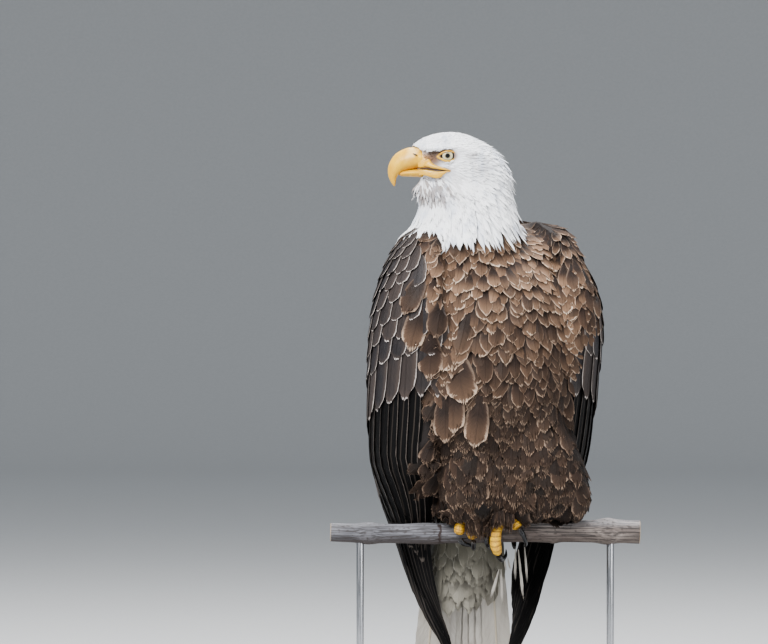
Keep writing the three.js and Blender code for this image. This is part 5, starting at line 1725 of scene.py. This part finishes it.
claw_horn = surface("black horn", claw_paint)
ANKLES = {"right": (-20, 2), "left": (30, 2)}
for name in SIDES:
    x, y = ANKLES[name]
    shank = long_form(f"shank_{name}", grip_frame, [[x, y, 5.5], [x, y - 1, 16], [x, y - 4, 30]],
                      [(0, 11.0, 11.0), (0.35, 8.8, 8.8), (1, 9.2, 9.2)], 64, 60, (1, 0, 0), cap=0.2,
                      relief=scutes(7))
    scaled_foot_piece(shank, 7, f"leg_{name}")
    for digit in (1, 2, 3, 4):
        key = (name, digit)
        across = (-1, 0, 0) if digit == 1 else (1, 0, 0)
        line = HANGING.get(key) or grip_line(*GRIPS[key])
        count = 6 if key == ("left", 3) else 9
        toe = long_form(f"toe_{digit}_of_{name}", grip_frame, line,
                        [(0, 6.8, 6.8), (0.4, 7.4, 7.5), (0.8, 6.6, 6.7), (1, 5.2, 5.2)], 64, 110,
                        across, cap=0.12,
                        relief=scutes(count))
        scaled_foot_piece(toe, count, f"toe_{name}_{digit}")
        line = CLAWS.get(key) or curl_line(*GRIPS[key])
        talon = long_form(f"claw_{digit}_of_{name}", grip_frame, line,
                          [(0, 4.0, 4.5), (0.3, 3.2, 3.9), (0.7, 1.9, 2.4), (1, 0.45, 0.6)], 40, 60,
                          across, cap=0.06)
        talon.data.materials.append(claw_horn)
        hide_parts(f"talon_{name}_{digit}")

# ==== Branch ============================================================================
# A cut length of dead, weathered wood without its bark: grey and silvery on top, browner
# underneath, with long drying cracks, a few knots and sawn ends.
def weathered(t, angle, level, rise):
    x = (t - 0.5) * 376
    grow = np.ones(len(t))
    for i in range(len(t)):
        place = Vector((x[i] / 46, level[i] * 1.9, rise[i] * 1.9))
        fibre = Vector((x[i] / 30, level[i] * 9, rise[i] * 9))
        grow[i] += 0.05 * (noise.noise(place) - 0.2) + 0.022 * noise.noise(fibre)
    for middle, turn, size, wide in BRANCH_KNOTS:
        off = (np.mod(angle - turn + np.pi, 2 * np.pi) - np.pi) * 13
        gone = np.hypot((x - middle) / wide, off / (wide * 0.8))
        grow += size * np.exp(-(gone ** 2)) - 0.6 * size * np.exp(-((gone / 0.35) ** 2))
    for start, end, turn, deep in BRANCH_CRACKS:
        wave = 0.5 + 0.12 * np.sin(x / 9 + turn)
        off = (np.mod(angle - turn - 0.002 * x + np.pi, 2 * np.pi) - np.pi) * 13
        grow -= deep * np.exp(-((off / wave) ** 2)) * eased(x, start,
                                                            start + 12) * eased(-x, -end, -end + 12)
    return level * grow, rise * grow


BRANCH_KNOTS = [(-62, -1.2, 0.16, 5), (84, -1.9, 0.12, 5), (-120, 0.4, 0.14, 6), (122, -0.6, 0.16, 6),
                (30, 1.9, 0.12, 5)]
BRANCH_CRACKS = [(-150, -70, -0.9, 0.09), (-52, 40, -2.2, 0.07), (60, 175, -1.4, 0.08),
                 (-180, -20, 1.2, 0.09),
                 (10, 150, 0.5, 0.07), (-60, 120, 2.6, 0.08), (-110, 20, -1.6, 0.06)]
branch_line = [[x, 0, 1.6 * math.sin(x / 62) - 13.6] for x in range(-188, 189, 47)]
branch_sizes = [((x + 188) / 376, perch_radius(x), perch_radius(x)) for x in range(-188, 189, 4)]
branch = long_form("branch", grip_frame, branch_line, branch_sizes, 144, 320, (0, 1, 0),
                   cap=0.045, flat=True,
                   relief=weathered)
form = form_of(branch)
marked(branch, "sawn", ((form[:, 0] < 0.0005) | (form[:, 0] > 0.9995)).astype(float))


def wood_paint(tree):
    sawn = add(tree, "ShaderNodeAttribute", attribute_name="sawn").outputs["Fac"]
    place = object_places(tree)
    own = add(tree, "ShaderNodeSeparateXYZ", {0: place}).outputs
    fibres = mottled(tree, stretched(tree, place, 14, 620, 620), 1.0, 5)
    cloud = mottled(tree, stretched(tree, place, 16, 60, 60), 1.0, 4)
    specks = mottled(tree, stretched(tree, place, 170, 330, 330), 1.0, 4)
    cool = ramped(tree, total_of(tree, own[0], times(tree, cloud, 0.05)), -0.01, 0.07)
    grey = blended(tree, cool, shade_of(66, 66, 71), shade_of(74, 64, 60))
    pale = blended(tree, cool, shade_of(108, 108, 114), shade_of(128, 118, 112))
    colour = blended(tree, ramped(tree, cloud, 0.3, 0.7), grey, pale)
    colour = tinted(tree, colour, ramped(tree, fibres, 0.42, 0.62), 0.85, (40, 37, 36))
    top = ramped(tree, own[2], 0.2625, 0.2715)
    colour = tinted(tree, colour, top, 0.3, (150, 150, 154))
    low = rest_of(tree, ramped(tree, own[2], 0.2445, 0.256))
    colour = tinted(tree, colour, low, 0.6, (64, 54, 48))
    colour = tinted(tree, colour, ramped(tree, specks, 0.55, 0.68), 0.7, (46, 40, 38))
    sway = times(tree, maths(tree, "SUBTRACT", mottled(tree, place, 130, 3), 0.5), 0.014)
    knot = maths(tree, "ABSOLUTE", total_of(tree, total_of(tree, own[0], 0.0555), sway))
    knot = rest_of(tree, ramped(tree, knot, 0.0012, 0.0032))
    front = rest_of(tree, ramped(tree, own[1], -0.03, -0.022))
    colour = blended(tree, times(tree, knot, front), colour, shade_of(40, 30, 28))
    rings = add(tree, "ShaderNodeTexWave", {"Vector": place, "Scale": 300.0, "Distortion": 2.0},
                wave_type="RINGS",
                rings_direction="X").outputs[1]
    fresh = blended(tree, rings, shade_of(164, 136, 104), shade_of(196, 170, 136))
    colour = blended(tree, sawn, colour, fresh)
    height = total_of(tree, fibres, times(tree, specks, 0.6))
    return colour, ramped(tree, fibres, -1.6, 1.5), height, 0.0012, {"Specular IOR Level": 0.3}


branch.data.materials.append(surface("weathered wood", wood_paint))
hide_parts("perch")

# ==== Stand =============================================================================
# A dark stained hardwood slab with softened edges, and two plain steel rods that are let into it
# and hold the branch near its ends.
low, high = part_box("stand_base")
form = bmesh.new()
bmesh.ops.create_cube(form, size=1)
for vert in form.verts:
    vert.co = [(a + b) / 2 + side * (b - a) for a, b, side in zip(low, high, vert.co)]
upright = [e for e in form.edges if abs(e.verts[0].co.z - e.verts[1].co.z) > 0.01]
bmesh.ops.bevel(form, geom=upright, offset=18 * MM, segments=10, profile=0.5, affect="EDGES")
level = [e for e in form.edges
         if abs(e.verts[0].co.z - e.verts[1].co.z) < 1e-6 and e.calc_face_angle(0) > 1.2]
bmesh.ops.bevel(form, geom=level, offset=2.4 * MM, segments=4, profile=0.5, affect="EDGES")
slab = piece_from("slab", form)


def slab_paint(tree):
    place = object_places(tree)
    grain = mottled(tree, stretched(tree, place, 7, 130, 60), 1.0, 5)
    pores = mottled(tree, stretched(tree, place, 60, 1500, 900), 1.0, 2)
    colour = blended(tree, ramped(tree, grain, 0.3, 0.72), shade_of(36, 26, 20), shade_of(84, 60, 44))
    colour = tinted(tree, colour, ramped(tree, pores, 0.55, 0.7), 0.6, (20, 14, 11))
    return colour, ramped(tree, grain, -0.8, 2.0), pores, 0.0001, {"Coat Weight": 0.25,
                                                                   "Coat Roughness": 0.3}


slab.data.materials.append(surface("stained hardwood", slab_paint))
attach(slab, "root")
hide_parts("stand_base")


def steel_paint(tree):
    place = object_places(tree)
    brushed = mottled(tree, stretched(tree, place, 900, 900, 30), 1.0, 3)
    colour = blended(tree, brushed, shade_of(150, 152, 156), shade_of(188, 190, 194))
    return colour, ramped(tree, brushed, -0.5, 2.4), brushed, 0.00004, {"Metallic": 1.0}


steel_look = surface("brushed steel", steel_paint)
for name in SIDES:
    low, high = [Vector(corner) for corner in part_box(f"stand_rod_{name}")]
    middle = (low + high) / 2
    form = bmesh.new()
    bmesh.ops.create_cone(form, cap_ends=True, segments=48, radius1=4.5 * MM, radius2=4.5 * MM,
                          depth=high.z - low.z)
    bmesh.ops.translate(form, verts=form.verts, vec=middle)
    collar = bmesh.ops.create_cone(form, cap_ends=True, segments=48, radius1=9 * MM, radius2=9 * MM,
                                   depth=4 * MM)["verts"]
    bmesh.ops.translate(form, verts=collar, vec=(middle.x, middle.y, low.z + 2 * MM))
    edges = [e for e in form.edges if e.calc_face_angle(0) > 1.2]
    bmesh.ops.bevel(form, geom=edges, offset=0.7 * MM, segments=3, profile=0.5, affect="EDGES")
    rod = piece_from(f"rod_{name}", form)
    rod.data.shade_smooth()
    rod.data.materials.append(steel_look)
    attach(rod, "root")
    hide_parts(f"stand_rod_{name}")

# ==== Floor, lights and camera ==========================================================
# The model stands on a sheet of pale paper that turns up all round into a low wall, far enough
# out for a camera on any side. Three soft lamps light it.
form = bmesh.new()
profile = [(0, 0), (4, 0), (8, 0), (11, 0)]
profile += [(11 + 4 * math.sin(a), 4 - 4 * math.cos(a))
            for a in np.linspace(0.1, math.pi / 2, 16)] + [(15, 9)]
line = [form.verts.new((r, 0, z)) for r, z in profile]
for a, b in zip(line, line[1:]):
    form.edges.new((a, b))
bmesh.ops.spin(form, geom=form.verts[:] + form.edges[:], cent=(0, 0, 0), axis=(0, 0, 1),
               angle=2 * math.pi, steps=96)
bmesh.ops.remove_doubles(form, verts=form.verts, dist=1e-4)
floor = piece_from("floor", form)
floor.data.shade_smooth()


def floor_paint(tree):
    place = object_places(tree)
    grain = mottled(tree, place, 90, 3)
    colour = blended(tree, grain, shade_of(172, 173, 174), shade_of(184, 184, 184))
    return colour, ramped(tree, grain, -2.5, 1.2), grain, 0.0001, {"Specular IOR Level": 0.2}


floor.data.materials.append(surface("paper", floor_paint))
floor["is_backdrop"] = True

world = bpy.data.worlds.new("studio")
bpy.context.scene.world = world
world.use_nodes = True
world.node_tree.nodes["Background"].inputs["Color"].default_value = (0.86, 0.93, 1.0, 1)
world.node_tree.nodes["Background"].inputs["Strength"].default_value = 0.75
SOFTBOXES = [("key", (-1.7, -2.7, 3.1), 2.2, 510), ("fill", (2.8, -2.6, 1.6), 2.6, 88),
             ("top", (0.4, 0.9, 3.2), 2.0, 220)]
for name, spot, size, power in SOFTBOXES:
    light = bpy.data.lights.new(name, "AREA")
    light.energy, light.size = power, size
    lamp = bpy.data.objects.new(name, light)
    bpy.context.scene.collection.objects.link(lamp)
    lamp.location = spot
    lamp.rotation_euler = (Vector((0, 0, 0.45)) - lamp.location).to_track_quat("-Z", "Y").to_euler()

# The lens takes in 1.22 mm of the bird to a picture point, from 6 m off and level with the breast.
POINT, POINTS_WIDE, CAMERA_OFF, SENSOR = 1.22, 768, 6000, 36
camera_data = bpy.data.cameras.new("camera")
camera_data.sensor_width, camera_data.lens = SENSOR, SENSOR * CAMERA_OFF / (POINTS_WIDE * POINT)
camera = bpy.data.objects.new("camera", camera_data)
bpy.context.scene.collection.objects.link(camera)
camera.location = Vector((-123, -CAMERA_OFF, 514)) * MM
camera.rotation_euler = (math.radians(90), 0, 0)
bpy.context.scene.camera = camera

low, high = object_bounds()
